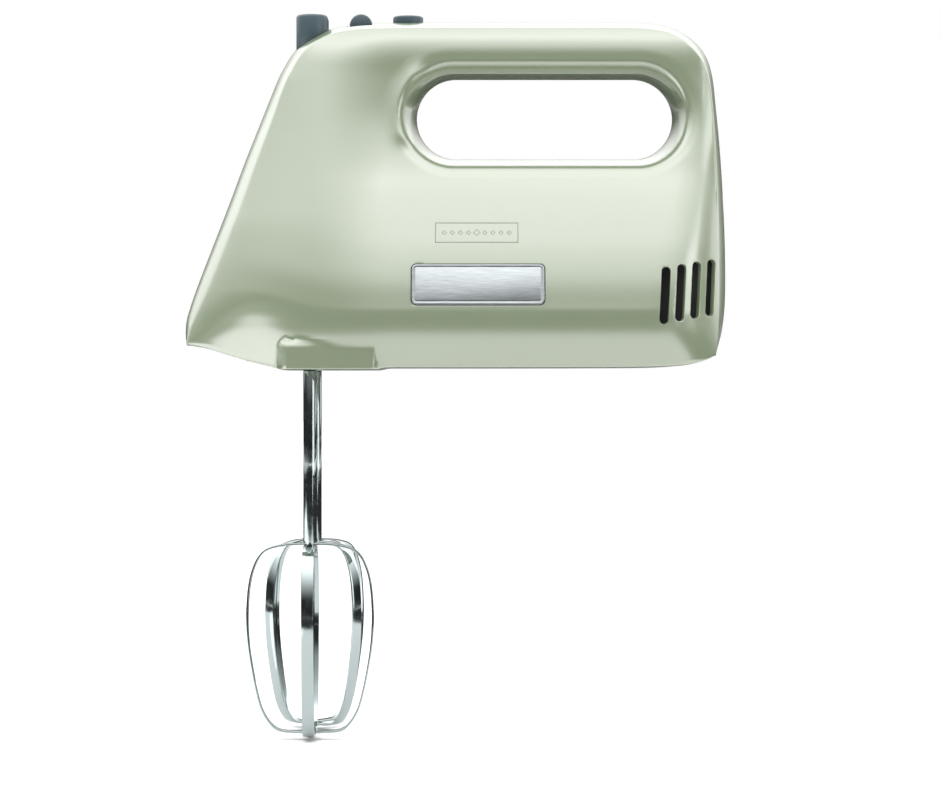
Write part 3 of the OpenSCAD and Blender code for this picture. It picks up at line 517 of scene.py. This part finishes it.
BADGE_TILT = 11.1
PARTING = 0.04          # half of the gap between the two halves


def badge_matrix():
    """The badge's own plane: X along the body, Y up the flank, Z out of it."""
    half_width = float(panel_half_width(np.array([BADGE_X]), np.array([BADGE_Z]))[0])
    return moved(BADGE_X, -half_width, BADGE_Z) @ turned(90 - BADGE_TILT, "X")


def side_cutters(side):
    """Cutters of everything that opens one half of the body."""
    cut = []
    for i, (x, z) in enumerate(VENTS):
        slot = moved(x, 0, z) @ turned(VENT_LEAN, "Y") @ SIDEWAYS @ ACROSS
        cut.append(prism(f"cut_vent_{i}", stadium_outline(VENT_L, VENT_W), 14, 60, slot))
    eject_slot = stadium_outline(EJECT_SLOT_L, EJECT_SLOT_W)
    cut.append(prism("cut_eject", eject_slot, -20, 40, moved(SPINDLE_X) @ ACROSS))
    tab_slot = rounded_outline(TAB_SLOT_L, TAB_SLOT_W, TAB_SLOT_CORNER)
    cut.append(prism("cut_tab", tab_slot, -8, 40, moved(TAB_X) @ ACROSS))
    cut.append(prism("cut_pulse", circle_outline(PULSE_HOLE_R), -8, 40, moved(PULSE_X)))
    spindle_at = moved(SPINDLE_X, -BEATER_Y)
    cut.append(prism("cut_spindle", circle_outline(SPINDLE_HOLE_R), -130, -104, spindle_at))
    gland_at = moved(z=GLAND_Z) @ turned(90, "Y")
    cut.append(prism("cut_gland", circle_outline(GLAND_HOLE_R), 54, 90, gland_at))
    if side < 0:
        gap = 2 * BADGE_CLEARANCE
        pocket = rounded_outline(BADGE_L + gap, BADGE_H + gap, 2.0)
        cut.append(prism("cut_badge", pocket, -3, 12, badge_matrix()))
    else:
        for i, (x, z) in enumerate(SCREWS):
            screw_at = moved(x, 0, z) @ SIDEWAYS
            cut.append(prism(f"cut_screw_{i}", circle_outline(SCREW_HOLE_R), 9, 60, screw_at))
    return cut


def cut_away(ob, cutter, paint, filler):
    """Cuts one opening; the cut faces take the filler."""
    cutter.data.materials.append(paint)
    cutter.data.materials.append(filler)
    cutter.data.polygons.foreach_set("material_index", [1] * len(cutter.data.polygons))
    m = ob.modifiers.new("cut", "BOOLEAN")
    m.operation = "DIFFERENCE"
    m.solver = "EXACT"
    m.object = cutter
    apply_modifiers(ob)
    bpy.data.objects.remove(cutter)


def open_shell(ob, side):
    """Takes the filled faces away, mirrors the right half, and draws the half off the middle plane."""
    bm = bmesh.new()
    bm.from_mesh(ob.data)
    bmesh.ops.delete(bm, geom=[f for f in bm.faces if f.material_index == 1], context="FACES")
    bmesh.ops.remove_doubles(bm, verts=bm.verts, dist=2e-6)
    if side > 0:
        for v in bm.verts:
            v.co.y = -v.co.y
        bmesh.ops.reverse_faces(bm, faces=bm.faces)
    for v in bm.verts:
        if abs(v.co.y) < 1e-6:
            v.co.y = side * PARTING * MM
    bm.to_mesh(ob.data)
    bm.free()


def give_wall(ob):
    """Makes the open surface a moulded wall with softened edges."""
    m = ob.modifiers.new("wall", "SOLIDIFY")
    m.thickness = WALL * MM
    m.offset = -1
    m.use_even_offset = False
    apply_modifiers(ob)
    m = ob.modifiers.new("bevel", "BEVEL")
    m.width = 0.22 * MM
    m.segments = 2
    m.limit_method = "ANGLE"
    m.angle_limit = math.radians(50)
    m.harden_normals = False
    apply_modifiers(ob)
    sharpen(ob, 42)


def housing(word, side, paint):
    """One half of the body as a moulded shell with its openings."""
    verts, faces, cap = half_body()
    ob = mesh_object(f"{word}_shell", verts, faces + cap, None)
    filler = bpy.data.materials.new("cut_face")
    ob.data.materials.append(paint)
    ob.data.materials.append(filler)
    ob.data.polygons.foreach_set("material_index", [0] * len(faces) + [1] * len(cap))
    outward(ob)
    for cutter in side_cutters(side):
        cut_away(ob, cutter, paint, filler)
    open_shell(ob, side)
    ob.data.materials.pop(index=1)
    bpy.data.materials.remove(filler)
    give_wall(ob)
    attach(ob, "housing")
    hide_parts(f"{word}_housing")


# ---------------------------------------------------------------- materials
def material(name):
    m = bpy.data.materials.new(name)
    m.use_nodes = True
    return m, m.node_tree, m.node_tree.nodes["Principled BSDF"]


def feed(tree, socket, value):
    """Links a socket to another one, or sets its plain value."""
    if isinstance(value, bpy.types.NodeSocket):
        tree.links.new(value, socket)
    else:
        socket.default_value = value


def object_place(tree):
    return tree.nodes.new("ShaderNodeTexCoord").outputs["Object"]


def noise(tree, vector, scale, detail=2.0, rough=0.5):
    n = tree.nodes.new("ShaderNodeTexNoise")
    for key, v in (("Vector", vector), ("Scale", scale), ("Detail", detail), ("Roughness", rough)):
        feed(tree, n.inputs[key], v)
    return n.outputs["Fac"]


def remap(tree, value, from_low, from_high, to_low, to_high):
    n = tree.nodes.new("ShaderNodeMapRange")
    keys = ("Value", "From Min", "From Max", "To Min", "To Max")
    for key, v in zip(keys, (value, from_low, from_high, to_low, to_high)):
        feed(tree, n.inputs[key], v)
    return n.outputs["Result"]


def maths(tree, operation, a, b):
    n = tree.nodes.new("ShaderNodeMath")
    n.operation = operation
    feed(tree, n.inputs[0], a)
    feed(tree, n.inputs[1], b)
    return n.outputs[0]


def shaded(tree, colour, value):
    """The colour, lighter or darker by the value."""
    n = tree.nodes.new("ShaderNodeHueSaturation")
    feed(tree, n.inputs["Value"], value)
    feed(tree, n.inputs["Color"], colour)
    return n.outputs["Color"]


def grey(shade):
    return (shade, shade, shade, 1)


def clouded_grey(tree, shader, scale, dark, light):
    """A grey that drifts softly between two shades."""
    n = tree.nodes.new("ShaderNodeMix")
    n.data_type = "RGBA"
    feed(tree, n.inputs["Factor"], noise(tree, object_place(tree), scale))
    n.inputs[6].default_value = grey(dark)
    n.inputs[7].default_value = grey(light)
    feed(tree, shader.inputs["Base Color"], n.outputs[2])


SURFACE_RESULTS = [
    ("Colour", "NodeSocketColor"), ("Roughness", "NodeSocketFloat"), ("Height", "NodeSocketFloat"),
]


def surface_group(name, inputs):
    """An empty surface group: its tree, its given values and its results."""
    g = bpy.data.node_groups.new(name, "ShaderNodeTree")
    for n, kind, value in inputs:
        s = g.interface.new_socket(n, in_out="INPUT", socket_type=kind)
        s.default_value = value
    for n, kind in SURFACE_RESULTS:
        g.interface.new_socket(n, in_out="OUTPUT", socket_type=kind)
    return g, g.nodes.new("NodeGroupInput").outputs, g.nodes.new("NodeGroupOutput").inputs


def moulded_surface():
    """Colour drift, roughness and a fine skin of moulded or painted plastic."""
    g, given, result = surface_group("moulded_surface", [
        ("Colour", "NodeSocketColor", (0.5, 0.5, 0.5, 1)), ("Drift", "NodeSocketFloat", 0.04),
        ("Roughness", "NodeSocketFloat", 0.3), ("Skin Scale", "NodeSocketFloat", 900.0)])
    at = object_place(g)
    cloud = noise(g, at, 35.0, 3.0)
    smudge = noise(g, at, 160.0, 4.0, 0.6)
    low = maths(g, "SUBTRACT", 1.0, given["Drift"])
    high = maths(g, "ADD", 1.0, given["Drift"])
    feed(g, result["Colour"], shaded(g, given["Colour"], remap(g, cloud, 0.3, 0.7, low, high)))
    smear = remap(g, smudge, 0.3, 0.75, -0.03, 0.05)
    feed(g, result["Roughness"], maths(g, "ADD", smear, given["Roughness"]))
    feed(g, result["Height"], noise(g, at, given["Skin Scale"]))
    return g


def drawn_metal():
    """Fine lines of drawn, brushed or rolled metal along one direction, with soft stains."""
    g, given, result = surface_group("drawn_metal", [
        ("Colour", "NodeSocketColor", (0.7, 0.7, 0.7, 1)), ("Stretch", "NodeSocketVector", (1, 1, 1)),
        ("Line Scale", "NodeSocketFloat", 900.0), ("Depth", "NodeSocketFloat", 0.1),
        ("Roughness", "NodeSocketFloat", 0.25)])
    at = object_place(g)
    stretched = g.nodes.new("ShaderNodeVectorMath")
    stretched.operation = "MULTIPLY"
    feed(g, stretched.inputs[0], at)
    feed(g, stretched.inputs[1], given["Stretch"])
    lines = noise(g, stretched.outputs[0], given["Line Scale"], 4.0, 0.7)
    stains = noise(g, at, 60.0, 3.0)
    dark = maths(g, "SUBTRACT", 1.0, given["Depth"])
    feed(g, result["Colour"], shaded(g, given["Colour"], remap(g, lines, 0.3, 0.7, dark, 1.0)))
    rough = maths(g, "ADD", remap(g, lines, 0.3, 0.7, -0.04, 0.08), given["Roughness"])
    rough = maths(g, "ADD", rough, remap(g, stains, 0.35, 0.75, -0.01, 0.04))
    feed(g, result["Roughness"], rough)
    feed(g, result["Height"], lines)
    return g


MOULDED = moulded_surface()
DRAWN = drawn_metal()


def dress(name, group, values, bump_height, bump_strength, sockets):
    """A material with a surface group joined to its shader."""
    mat, tree, shader = material(name)
    g = tree.nodes.new("ShaderNodeGroup")
    g.node_tree = group
    for key, v in values.items():
        g.inputs[key].default_value = v
    bump = tree.nodes.new("ShaderNodeBump")
    bump.inputs["Distance"].default_value = bump_height
    bump.inputs["Strength"].default_value = bump_strength
    feed(tree, bump.inputs["Height"], g.outputs["Height"])
    feed(tree, shader.inputs["Base Color"], g.outputs["Colour"])
    feed(tree, shader.inputs["Roughness"], g.outputs["Roughness"])
    feed(tree, shader.inputs["Normal"], bump.outputs["Normal"])
    for key, v in sockets.items():
        shader.inputs[key.replace("_", " ")].default_value = v
    return mat


def moulded(name, colour, drift, rough, scale, height, strength, **sockets):
    values = {"Colour": (*colour, 1), "Drift": drift, "Roughness": rough, "Skin Scale": scale}
    return dress(name, MOULDED, values, height, strength, sockets)


def metal(name, colour, stretch, scale, depth, rough, height=2e-5, strength=0.2):
    values = {"Colour": (*colour, 1), "Stretch": stretch, "Line Scale": scale, "Depth": depth,
              "Roughness": rough}
    return dress(name, DRAWN, values, height, strength, {"Metallic": 1.0})


# name, colour, drift, roughness, skin scale, skin height, strength
SAGE = moulded("sage_gloss_paint", (0.154, 0.191, 0.116), 0.012, 0.33, 1400.0, 6e-6, 0.25,
               Coat_Weight=1.0, Coat_Roughness=0.22, Coat_IOR=2.3, IOR=1.5)
SLATE = moulded("slate_soft_touch", (0.036, 0.060, 0.072), 0.10, 0.42, 2600.0, 6e-5, 0.55, IOR=1.5)
BLACK = moulded("black_plastic", (0.022, 0.023, 0.025), 0.10, 0.45, 1500.0, 3e-5, 0.3)
RUBBER = moulded("black_rubber", (0.02, 0.02, 0.02), 0.12, 0.7, 1800.0, 5e-5, 0.4)
BOARD = moulded("green_board", (0.03, 0.16, 0.07), 0.15, 0.35, 700.0, 3e-5, 0.3)
LEAD = moulded("lead_sleeve", (0.75, 0.74, 0.70), 0.05, 0.4, 900.0, 2e-5, 0.2)
TERMINAL = moulded("terminal_plastic", (0.80, 0.78, 0.70), 0.05, 0.4, 900.0, 2e-5, 0.2)
CASE = moulded("capacitor_case", (0.55, 0.30, 0.05), 0.08, 0.35, 900.0, 2e-5, 0.2)
CARBON = moulded("carbon_block", (0.03, 0.03, 0.03), 0.2, 0.6, 2000.0, 4e-5, 0.4)
INK = moulded("printed_ink", (0.16, 0.18, 0.15), 0.05, 0.45, 1500.0, 4e-6, 0.2)
# name, colour, stretch of the lines, line scale, depth, roughness, line height, strength
BRONZE = metal("sintered_bronze", (0.60, 0.40, 0.18), (1, 1, 1), 1200.0, 0.3, 0.38)
COPPER = metal("enamelled_copper", (0.72, 0.28, 0.12), (1, 1, 6), 1500.0, 0.4, 0.3, 6e-5, 0.5)
CAST = metal("cast_alloy", (0.62, 0.63, 0.64), (1, 1, 1), 500.0, 0.25, 0.42, 6e-5, 0.4)
GROUND = metal("ground_steel", (0.66, 0.67, 0.68), (1, 8, 8), 700.0, 0.15, 0.22)
LAMINATED = metal("laminated_steel", (0.30, 0.31, 0.33), (9, 1, 1), 900.0, 0.5, 0.4, 6e-5, 0.6)
SPRING = metal("spring_steel", (0.60, 0.60, 0.60), (1, 1, 5), 900.0, 0.2, 0.25)
ZINC = metal("zinc_screw", (0.70, 0.71, 0.72), (1, 1, 1), 900.0, 0.2, 0.28)
CHROME = metal("polished_chrome", (0.36, 0.41, 0.41), (1, 1, 1), 250.0, 0.03, 0.055, 2e-6, 0.05)
BRUSHED = metal("brushed_badge_steel", (0.42, 0.45, 0.46), (0.06, 1, 3), 2600.0, 0.5, 0.34, 2e-5, 0.25)

# the inner parts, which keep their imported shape
NODE_LOOKS = {
    BLACK: ["cord_clamp", "speed_switch", "pulse_switch", "eject_guide", "eject_fork", "speed_carriage",
            "cooling_fan", "brush_holders", "speed_triac", "air_baffles"],
    RUBBER: ["cord_gland"],
    BOARD: ["circuit_board"],
    LEAD: ["inner_leads"],
    TERMINAL: ["terminal_block", "left_worm_wheel", "right_worm_wheel"],
    CASE: ["suppressor_capacitor"],
    BRONZE: ["lower_bushes", "upper_bushes"],
    COPPER: ["field_coils", "armature_windings", "commutator"],
    CAST: ["gearbox_frame", "gearbox_cover", "rear_bracket"],
    GROUND: ["front_bearing", "middle_bearing", "rear_bearing", "armature_shaft", "worm", "left_spindle",
             "right_spindle", "eject_rod", "pulse_plunger"],
    LAMINATED: ["stator_core", "armature_core"],
    SPRING: ["brush_springs", "eject_spring", "pulse_spring", "left_spindle_clip", "right_spindle_clip"],
    ZINC: ["housing_screws", "gearbox_screws", "bracket_screws"],
    CARBON: ["carbon_brushes"],
}


def dress_inner_parts():
    for look, names in NODE_LOOKS.items():
        for node in names:
            NODES[node].data.materials.clear()
            NODES[node].data.materials.append(look)


# ---------------------------------------------------------------- beaters
CAGE_TOP, CAGE_BASE = -179.35, -247.85
CAGE_R = 23.0
INNER_DROP = 0.85       # the inner loop lies one strip below the outer one
STRIP_HALF, STRIP_THICK, STRIP_ROUND = 2.2, 0.8, 0.22
SHAFT_R = 2.45
SHAFT_FOOT, SHAFT_HEAD = -182.05, -81.05


def cage_half(top, base):
    """One side of a loop from its top to its base, as (distance from the shaft, height)."""
    h = top - base
    r = CAGE_R
    return [
        (3.5, top), (r - 13.5, top - 0.4), (r - 7.5, top - 1.9), (r - 4.3, top - 4.8),
        (r - 2.2, top - 9.3), (r - 0.9, top - 14.5), (r - 0.2, top - 0.31 * h), (r, top - 0.42 * h),
        (r - 0.5, base + 0.46 * h), (r - 1.6, base + 0.35 * h), (r - 3.2, base + 15.9),
        (r - 5.3, base + 8.5), (r - 8.5, base + 3.2), (r - 12.2, base + 0.6), (3.5, base),
    ]


def strip_section():
    """Cross-section of the strip, with rounded edges, as (across, out of the loop's line)."""
    w, t, r = STRIP_HALF, STRIP_THICK, STRIP_ROUND
    section = []
    for sx, sy, start in ((1, 1, 0), (-1, 1, 90), (-1, -1, 180), (1, -1, 270)):
        for k in range(4):
            q = math.radians(start + 30 * k)
            section.append((sx * (w - r) + r * math.cos(q), t / 2 + sy * (t / 2 - r) + r * math.sin(q)))
    return section


def strip_loop(name, top, base):
    """One closed loop of flat chromed strip."""
    half = cage_half(top, base)
    path = catmull(half + [(-p[0], p[1]) for p in half[::-1]], 9, closed=True)
    path = spread(np.vstack([path, path[:1]]), np.ones(len(path) + 1), 241)[:-1]
    t = ring_tangents(path)
    inward = np.stack([t[:, 1], -t[:, 0]], axis=1)
    if (inward * (path - path.mean(0))).sum() > 0:
        inward = -inward
    section = strip_section()
    verts = [(p[0] + n[0] * b, a, p[1] + n[1] * b) for p, n in zip(path, inward) for a, b in section]
    m, n = len(path), len(section)
    faces = [(i * n + k, i * n + (k + 1) % n, ((i + 1) % m) * n + (k + 1) % n, ((i + 1) % m) * n + k)
             for i in range(m) for k in range(n)]
    return mesh_object(name, verts, faces, CHROME)


def lathe(name, profile, mat, segments=48):
    """A turned piece about Z from rows of (radius, height)."""
    turn = [2 * math.pi * k / segments for k in range(segments)]
    rings = [[(r * math.cos(q), r * math.sin(q), z) for q in turn] for r, z in profile]
    return stacked_piece(name, rings, mat)


def beater_shaft(word):
    r, foot, head = SHAFT_R, SHAFT_FOOT, SHAFT_HEAD
    profile = [(0.6, foot), (1.3, foot + 0.15), (2.0, foot + 0.6), (r - 0.1, foot + 1.3), (r, foot + 2),
               (r, head - 1.2), (r - 0.2, head - 0.7), (r - 0.8, head)]
    return lathe(f"{word}_shaft", profile, CHROME)


def cage_rivet(word):
    base = CAGE_BASE
    profile = [(0.2, base - 1.75), (0.9, base - 1.6), (1.5, base - 1.2), (1.6, base - 0.85)]
    return lathe(f"{word}_tip", profile, CHROME, 24)


def beater(word, side):
    """One beater: the right one stands an eighth of a turn ahead of the left one."""
    eighth = 0 if side < 0 else 45
    outer = strip_loop(f"{word}_outer_strip", CAGE_TOP, CAGE_BASE)
    inner = strip_loop(f"{word}_inner_strip", CAGE_TOP - INNER_DROP, CAGE_BASE - INNER_DROP)
    shaft = beater_shaft(word)
    rivet = cage_rivet(word)
    for ob, turn in ((outer, 0), (inner, 90), (shaft, 0), (rivet, 0)):
        ob.data.transform(moved(SPINDLE_X * MM, side * BEATER_Y * MM) @ turned(turn + eighth, "Z"))
        outward(ob)
        sharpen(ob, 40)
        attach(ob, f"beater_{word}")
    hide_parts(f"{word}_outer_loop")
    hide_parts(f"{word}_inner_loop")
    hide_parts(f"{word}_beater_shaft")


# ---------------------------------------------------------------- controls
EJECT_L, EJECT_W = 22, 11.4
EJECT_LOW, EJECT_HIGH = -2.65, 12.75
PULSE_R = 5.5
PULSE_LOW, PULSE_HIGH = 4.35, 12.55
FOOT_BREAK = 0.3
TAB_FOOT, TAB_MID, TAB_TOP = 4.35, 10.05, 14.25
TAB_R, TAB_HALF_THICK = 4.2, 1.7


def scaled(outline, inset):
    """An outline moved inwards."""
    p = np.array(outline)
    t = ring_tangents(p)
    n = np.stack([t[:, 1], -t[:, 0]], axis=1)
    if (n * p).sum() < 0:
        n = -n
    return p - n * inset


def ring_at(outline, height):
    """An outline as a ring of points at one height."""
    return [(p[0], p[1], height) for p in outline]


def button_rings(outline, low, high, radius, dome, dome_drop, dome_steps):
    """Rings of a button: a broken foot, straight sides, a rounded shoulder, and a top domed or dished."""
    shoulder = high - dome_drop
    rings = [ring_at(scaled(outline, FOOT_BREAK), low), ring_at(outline, low + FOOT_BREAK),
             ring_at(outline, shoulder - radius)]
    for k in range(1, 6):
        q = math.pi / 2 * k / 5
        inset = radius * (1 - math.cos(q))
        rings.append(ring_at(scaled(outline, inset), shoulder - radius * (1 - math.sin(q))))
    face = scaled(outline, radius)
    for k in dome_steps:
        rings.append(ring_at(face * (1 - k), shoulder + dome * math.sin(k * math.pi / 2)))
    return rings


def finish_button(ob, matrix, body, node):
    ob.data.transform(matrix)
    outward(ob)
    sharpen(ob, 45)
    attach(ob, body)
    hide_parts(node)


def eject_button():
    """A high stadium button across the body."""
    outline = stadium_outline(EJECT_L, EJECT_W, 16)
    rings = button_rings(outline, EJECT_LOW, EJECT_HIGH, 1.1, 0.25, 0.25, (0.35, 0.7, 0.93))
    ob = stacked_piece("eject_key", rings, SLATE)
    finish_button(ob, moved(SPINDLE_X * MM) @ ACROSS, "ejector", "eject_button")


def pulse_button():
    """A low disc with a shallow dish for the fingertip."""
    outline = circle_outline(PULSE_R)
    rings = button_rings(outline, PULSE_LOW, PULSE_HIGH, 0.8, -0.55, 0.0, (0.2, 0.45, 0.7, 0.93))
    ob = stacked_piece("pulse_key", rings, SLATE)
    finish_button(ob, moved(PULSE_X * MM), "pulse_key", "pulse_button")


def speed_tab():
    """A thin upright fin with a round top, which slides across the body."""
    outline = [(-TAB_R, TAB_FOOT), (TAB_R, TAB_FOOT)]
    for k in range(29):
        q = math.pi * k / 28
        outline.append((TAB_R * math.cos(q), TAB_MID + TAB_R * math.sin(q)))
    faces = []
    for inset, reach in ((0.7, 0.0), (0.25, 0.25), (0.0, 0.7)):
        faces.append((scaled(outline, inset), TAB_HALF_THICK - reach))
    rings = [(o, -h) for o, h in faces] + [(o, h) for o, h in faces[::-1]]
    rings = [[(p[0], min(p[1], TAB_TOP), h) for p in o] for o, h in rings]
    ob = stacked_piece("speed_key", rings, SLATE)
    finish_button(ob, moved(TAB_X * MM, TAB_REST_Y * MM) @ SIDEWAYS, "speed_slider", "speed_tab")


# ---------------------------------------------------------------- badge and print
PRINT_X = (-39.6, -10.2)
PRINT_Z = (-71.6, -64.6)
FRAME_LINE, LOZENGE_LINE = 0.26, 0.2
PRINT_LIFT = 0.03
FILM = 0.05


def badge():
    """A brushed plate with a fine raised border, plain within."""
    outline = rounded_outline(BADGE_L, BADGE_H, BADGE_CORNER, 10)
    steps = [(0, -0.75), (0, 0.12), (0.12, 0.28), (0.35, 0.34), (0.75, 0.34), (0.9, 0.24), (1.15, 0.24),
             (1.3, 0.32)]
    rings = [ring_at(scaled(outline, inset), height) for inset, height in steps]
    ob = stacked_piece("badge_face", rings, BRUSHED)
    m = badge_matrix()
    m.translation *= MM
    ob.data.transform(m)
    outward(ob)
    sharpen(ob, 40)
    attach(ob, "housing")
    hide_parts("badge_plate")


def print_line(points, width):
    """A thin printed line that lies on the side panel, as points and faces."""
    p = np.array(points, float)
    t = np.gradient(p, axis=0)
    t /= np.linalg.norm(t, axis=1)[:, None]
    n = np.stack([-t[:, 1], t[:, 0]], axis=1)
    verts = []
    for s in (-0.5, 0.5):
        q = p + n * s * width
        w = panel_half_width(q[:, 0], q[:, 1])
        verts += [(a, -b - PRINT_LIFT, c) for a, b, c in zip(q[:, 0], w, q[:, 1])]
    k = len(p)
    return verts, [(i, i + 1, k + i + 1, k + i) for i in range(k - 1)]


def frame_lines():
    """The printed lines: a plain frame round a row of small lozenges, a larger one in the middle."""
    (x0, x1), (z0, z1) = PRINT_X, PRINT_Z
    lines = [([(x, z) for x in np.linspace(x0, x1, 30)], FRAME_LINE) for z in PRINT_Z]
    lines += [([(x, z) for z in np.linspace(z0, z1, 10)], FRAME_LINE) for x in PRINT_X]
    mid = (z0 + z1) / 2
    for i in range(-4, 5):
        size = 0.75 if i else 1.15
        x = (x0 + x1) / 2 + i * 2.9
        corners = [(x - size, mid), (x, mid + size), (x + size, mid), (x, mid - size), (x - size, mid)]
        lines.append((corners, LOZENGE_LINE))
    return lines


def printed_frame():
    verts, faces = [], []
    for points, width in frame_lines():
        line_verts, line_faces = print_line(points, width)
        faces += [tuple(i + len(verts) for i in f) for f in line_faces]
        verts += line_verts
    ob = mesh_object("printed_frame", verts, faces, INK)
    m = ob.modifiers.new("film", "SOLIDIFY")
    m.thickness = FILM * MM
    m.offset = 0
    apply_modifiers(ob)
    outward(ob)
    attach(ob, "housing")


# ---------------------------------------------------------------- stage
Z_FLOOR = CAD_BOX[0][2] - 0.0006
# height of the dark sheets that are seen only in reflections, where they paint a dark reflection
Z_REFLECTION_SHEET = CAD_BOX[0][2] - 0.0002
BODY_CENTRE = (-0.03, 0, -0.06)


def sheet(name, x, y, z, mat):
    """A flat level sheet of the stage."""
    me = bpy.data.meshes.new(name)
    me.from_pydata([(x[0], y[0], z), (x[1], y[0], z), (x[1], y[1], z), (x[0], y[1], z)], [], [(0, 1, 2, 3)])
    me.materials.append(mat)
    ob = bpy.data.objects.new(name, me)
    bpy.context.scene.collection.objects.link(ob)
    return ob


def floor():
    """A plain pale floor."""
    mat, tree, shader = material("pale_floor")
    clouded_grey(tree, shader, 3.0, 0.70, 0.74)
    shader.inputs["Roughness"].default_value = 0.7
    sheet("floor", (-14.0, 14.0), (-14.0, 14.0), Z_FLOOR, mat)


def dark_reflection_sheet():
    """Dark sheets on the floor round the body, seen only in reflections: a painted dark reflection where the
    pale floor would otherwise be reflected.
    """
    mat, tree, shader = material("dark_reflection_sheet")
    clouded_grey(tree, shader, 9.0, 0.015, 0.03)
    shader.inputs["Roughness"].default_value = 0.9
    shader.inputs["Specular IOR Level"].default_value = 0.0
    for name, x, y in (("front", (-4.0, 4.0), (-8.0, -0.42)), ("right", (0.3, 4.0), (-0.42, 0.3)),
                       ("left", (-4.0, -1.0), (-0.42, 0.3)), ("back", (-4.0, 4.0), (0.3, 8.0))):
        ob = sheet(f"dark_reflection_sheet_{name}", x, y, Z_REFLECTION_SHEET, mat)
        ob.visible_camera = False
        ob.visible_diffuse = False
        ob.visible_shadow = False


def aim(ob, place, target):
    """Puts a lamp or the camera in its place and turns it to a target."""
    ob.location = place
    ob.rotation_mode = "QUATERNION"
    ob.rotation_quaternion = (Vector(target) - Vector(place)).to_track_quat("-Z", "Y")
    bpy.context.scene.collection.objects.link(ob)


def area_light(name, place, target, size, power):
    data = bpy.data.lights.new(name, "AREA")
    data.shape = "RECTANGLE"
    data.size, data.size_y = size
    data.energy = power
    ob = bpy.data.objects.new(name, data)
    ob.visible_camera = False
    aim(ob, place, target)


def lamps():
    """Soft boxes, a card of light low on the left, and a narrow strip on the right."""
    area_light("overhead_box", (-0.2, -0.5, 1.3), BODY_CENTRE, (1.6, 1.2), 5)
    area_light("right_box", (1.0, -0.5, 0.08), BODY_CENTRE, (0.5, 0.55), 2.0)
    area_light("left_floor_card", (-0.5, -0.2, -0.246), (-0.5, -0.2, 1.0), (0.7, 0.4), 1.0)
    area_light("back_left_box", (-1.06, 0.69, 0.38), BODY_CENTRE, (0.9, 0.8), 2.8)
    area_light("back_right_box", (1.0, 0.69, 0.3), BODY_CENTRE, (0.9, 0.8), 3.2)
    area_light("right_strip", (0.75, -0.8, 0.0), BODY_CENTRE, (0.05, 0.5), 0.5)


def sky():
    """White to the camera; to the object, dark at the horizon and brighter towards the top."""
    world = bpy.data.worlds.new("studio")
    bpy.context.scene.world = world
    world.use_nodes = True
    tree = world.node_tree
    tree.nodes.clear()
    split = tree.nodes.new("ShaderNodeSeparateXYZ")
    feed(tree, split.inputs[0], tree.nodes.new("ShaderNodeTexCoord").outputs["Generated"])
    ramp = tree.nodes.new("ShaderNodeValToRGB")
    feed(tree, ramp.inputs["Fac"], remap(tree, split.outputs["Z"], -1, 1, 0, 1))
    stops = ramp.color_ramp.elements
    stops[0].position, stops[0].color = 0.50, grey(0.012)
    stops[1].position, stops[1].color = 0.83, grey(1)
    for height, shade in ((0.56, 0.02), (0.64, 0.28), (0.75, 0.68), (0.93, 0.85), (1.0, 0.65)):
        stops.new(height).color = grey(shade)
    seen = tree.nodes.new("ShaderNodeBackground")
    seen.inputs["Color"].default_value = grey(1)
    lit = tree.nodes.new("ShaderNodeBackground")
    lit.inputs["Strength"].default_value = 2.9
    feed(tree, lit.inputs["Color"], ramp.outputs["Color"])
    mix = tree.nodes.new("ShaderNodeMixShader")
    feed(tree, mix.inputs["Fac"], tree.nodes.new("ShaderNodeLightPath").outputs["Is Camera Ray"])
    feed(tree, mix.inputs[1], lit.outputs[0])
    feed(tree, mix.inputs[2], seen.outputs[0])
    feed(tree, tree.nodes.new("ShaderNodeOutputWorld").inputs["Surface"], mix.outputs[0])


def camera():
    """A long lens, level and square to the side of the body."""
    data = bpy.data.cameras.new("camera")
    data.lens = 129.6
    data.sensor_width = 36
    data.clip_start, data.clip_end = 0.05, 40
    ob = bpy.data.objects.new("camera", data)
    place = (-0.0273, -1.24, -0.1257)
    aim(ob, place, (place[0], 0, place[2]))
    bpy.context.scene.camera = ob


# ---------------------------------------------------------------- the whole mixer
dress_inner_parts()
housing("left", -1, SAGE)
housing("right", 1, SAGE)
beater("left", -1)
beater("right", 1)
eject_button()
speed_tab()
pulse_button()
badge()
printed_frame()
floor()
dark_reflection_sheet()
lamps()
sky()
camera()
bpy.context.scene.view_settings.view_transform = "Standard"
bpy.context.scene.view_settings.look = "None"
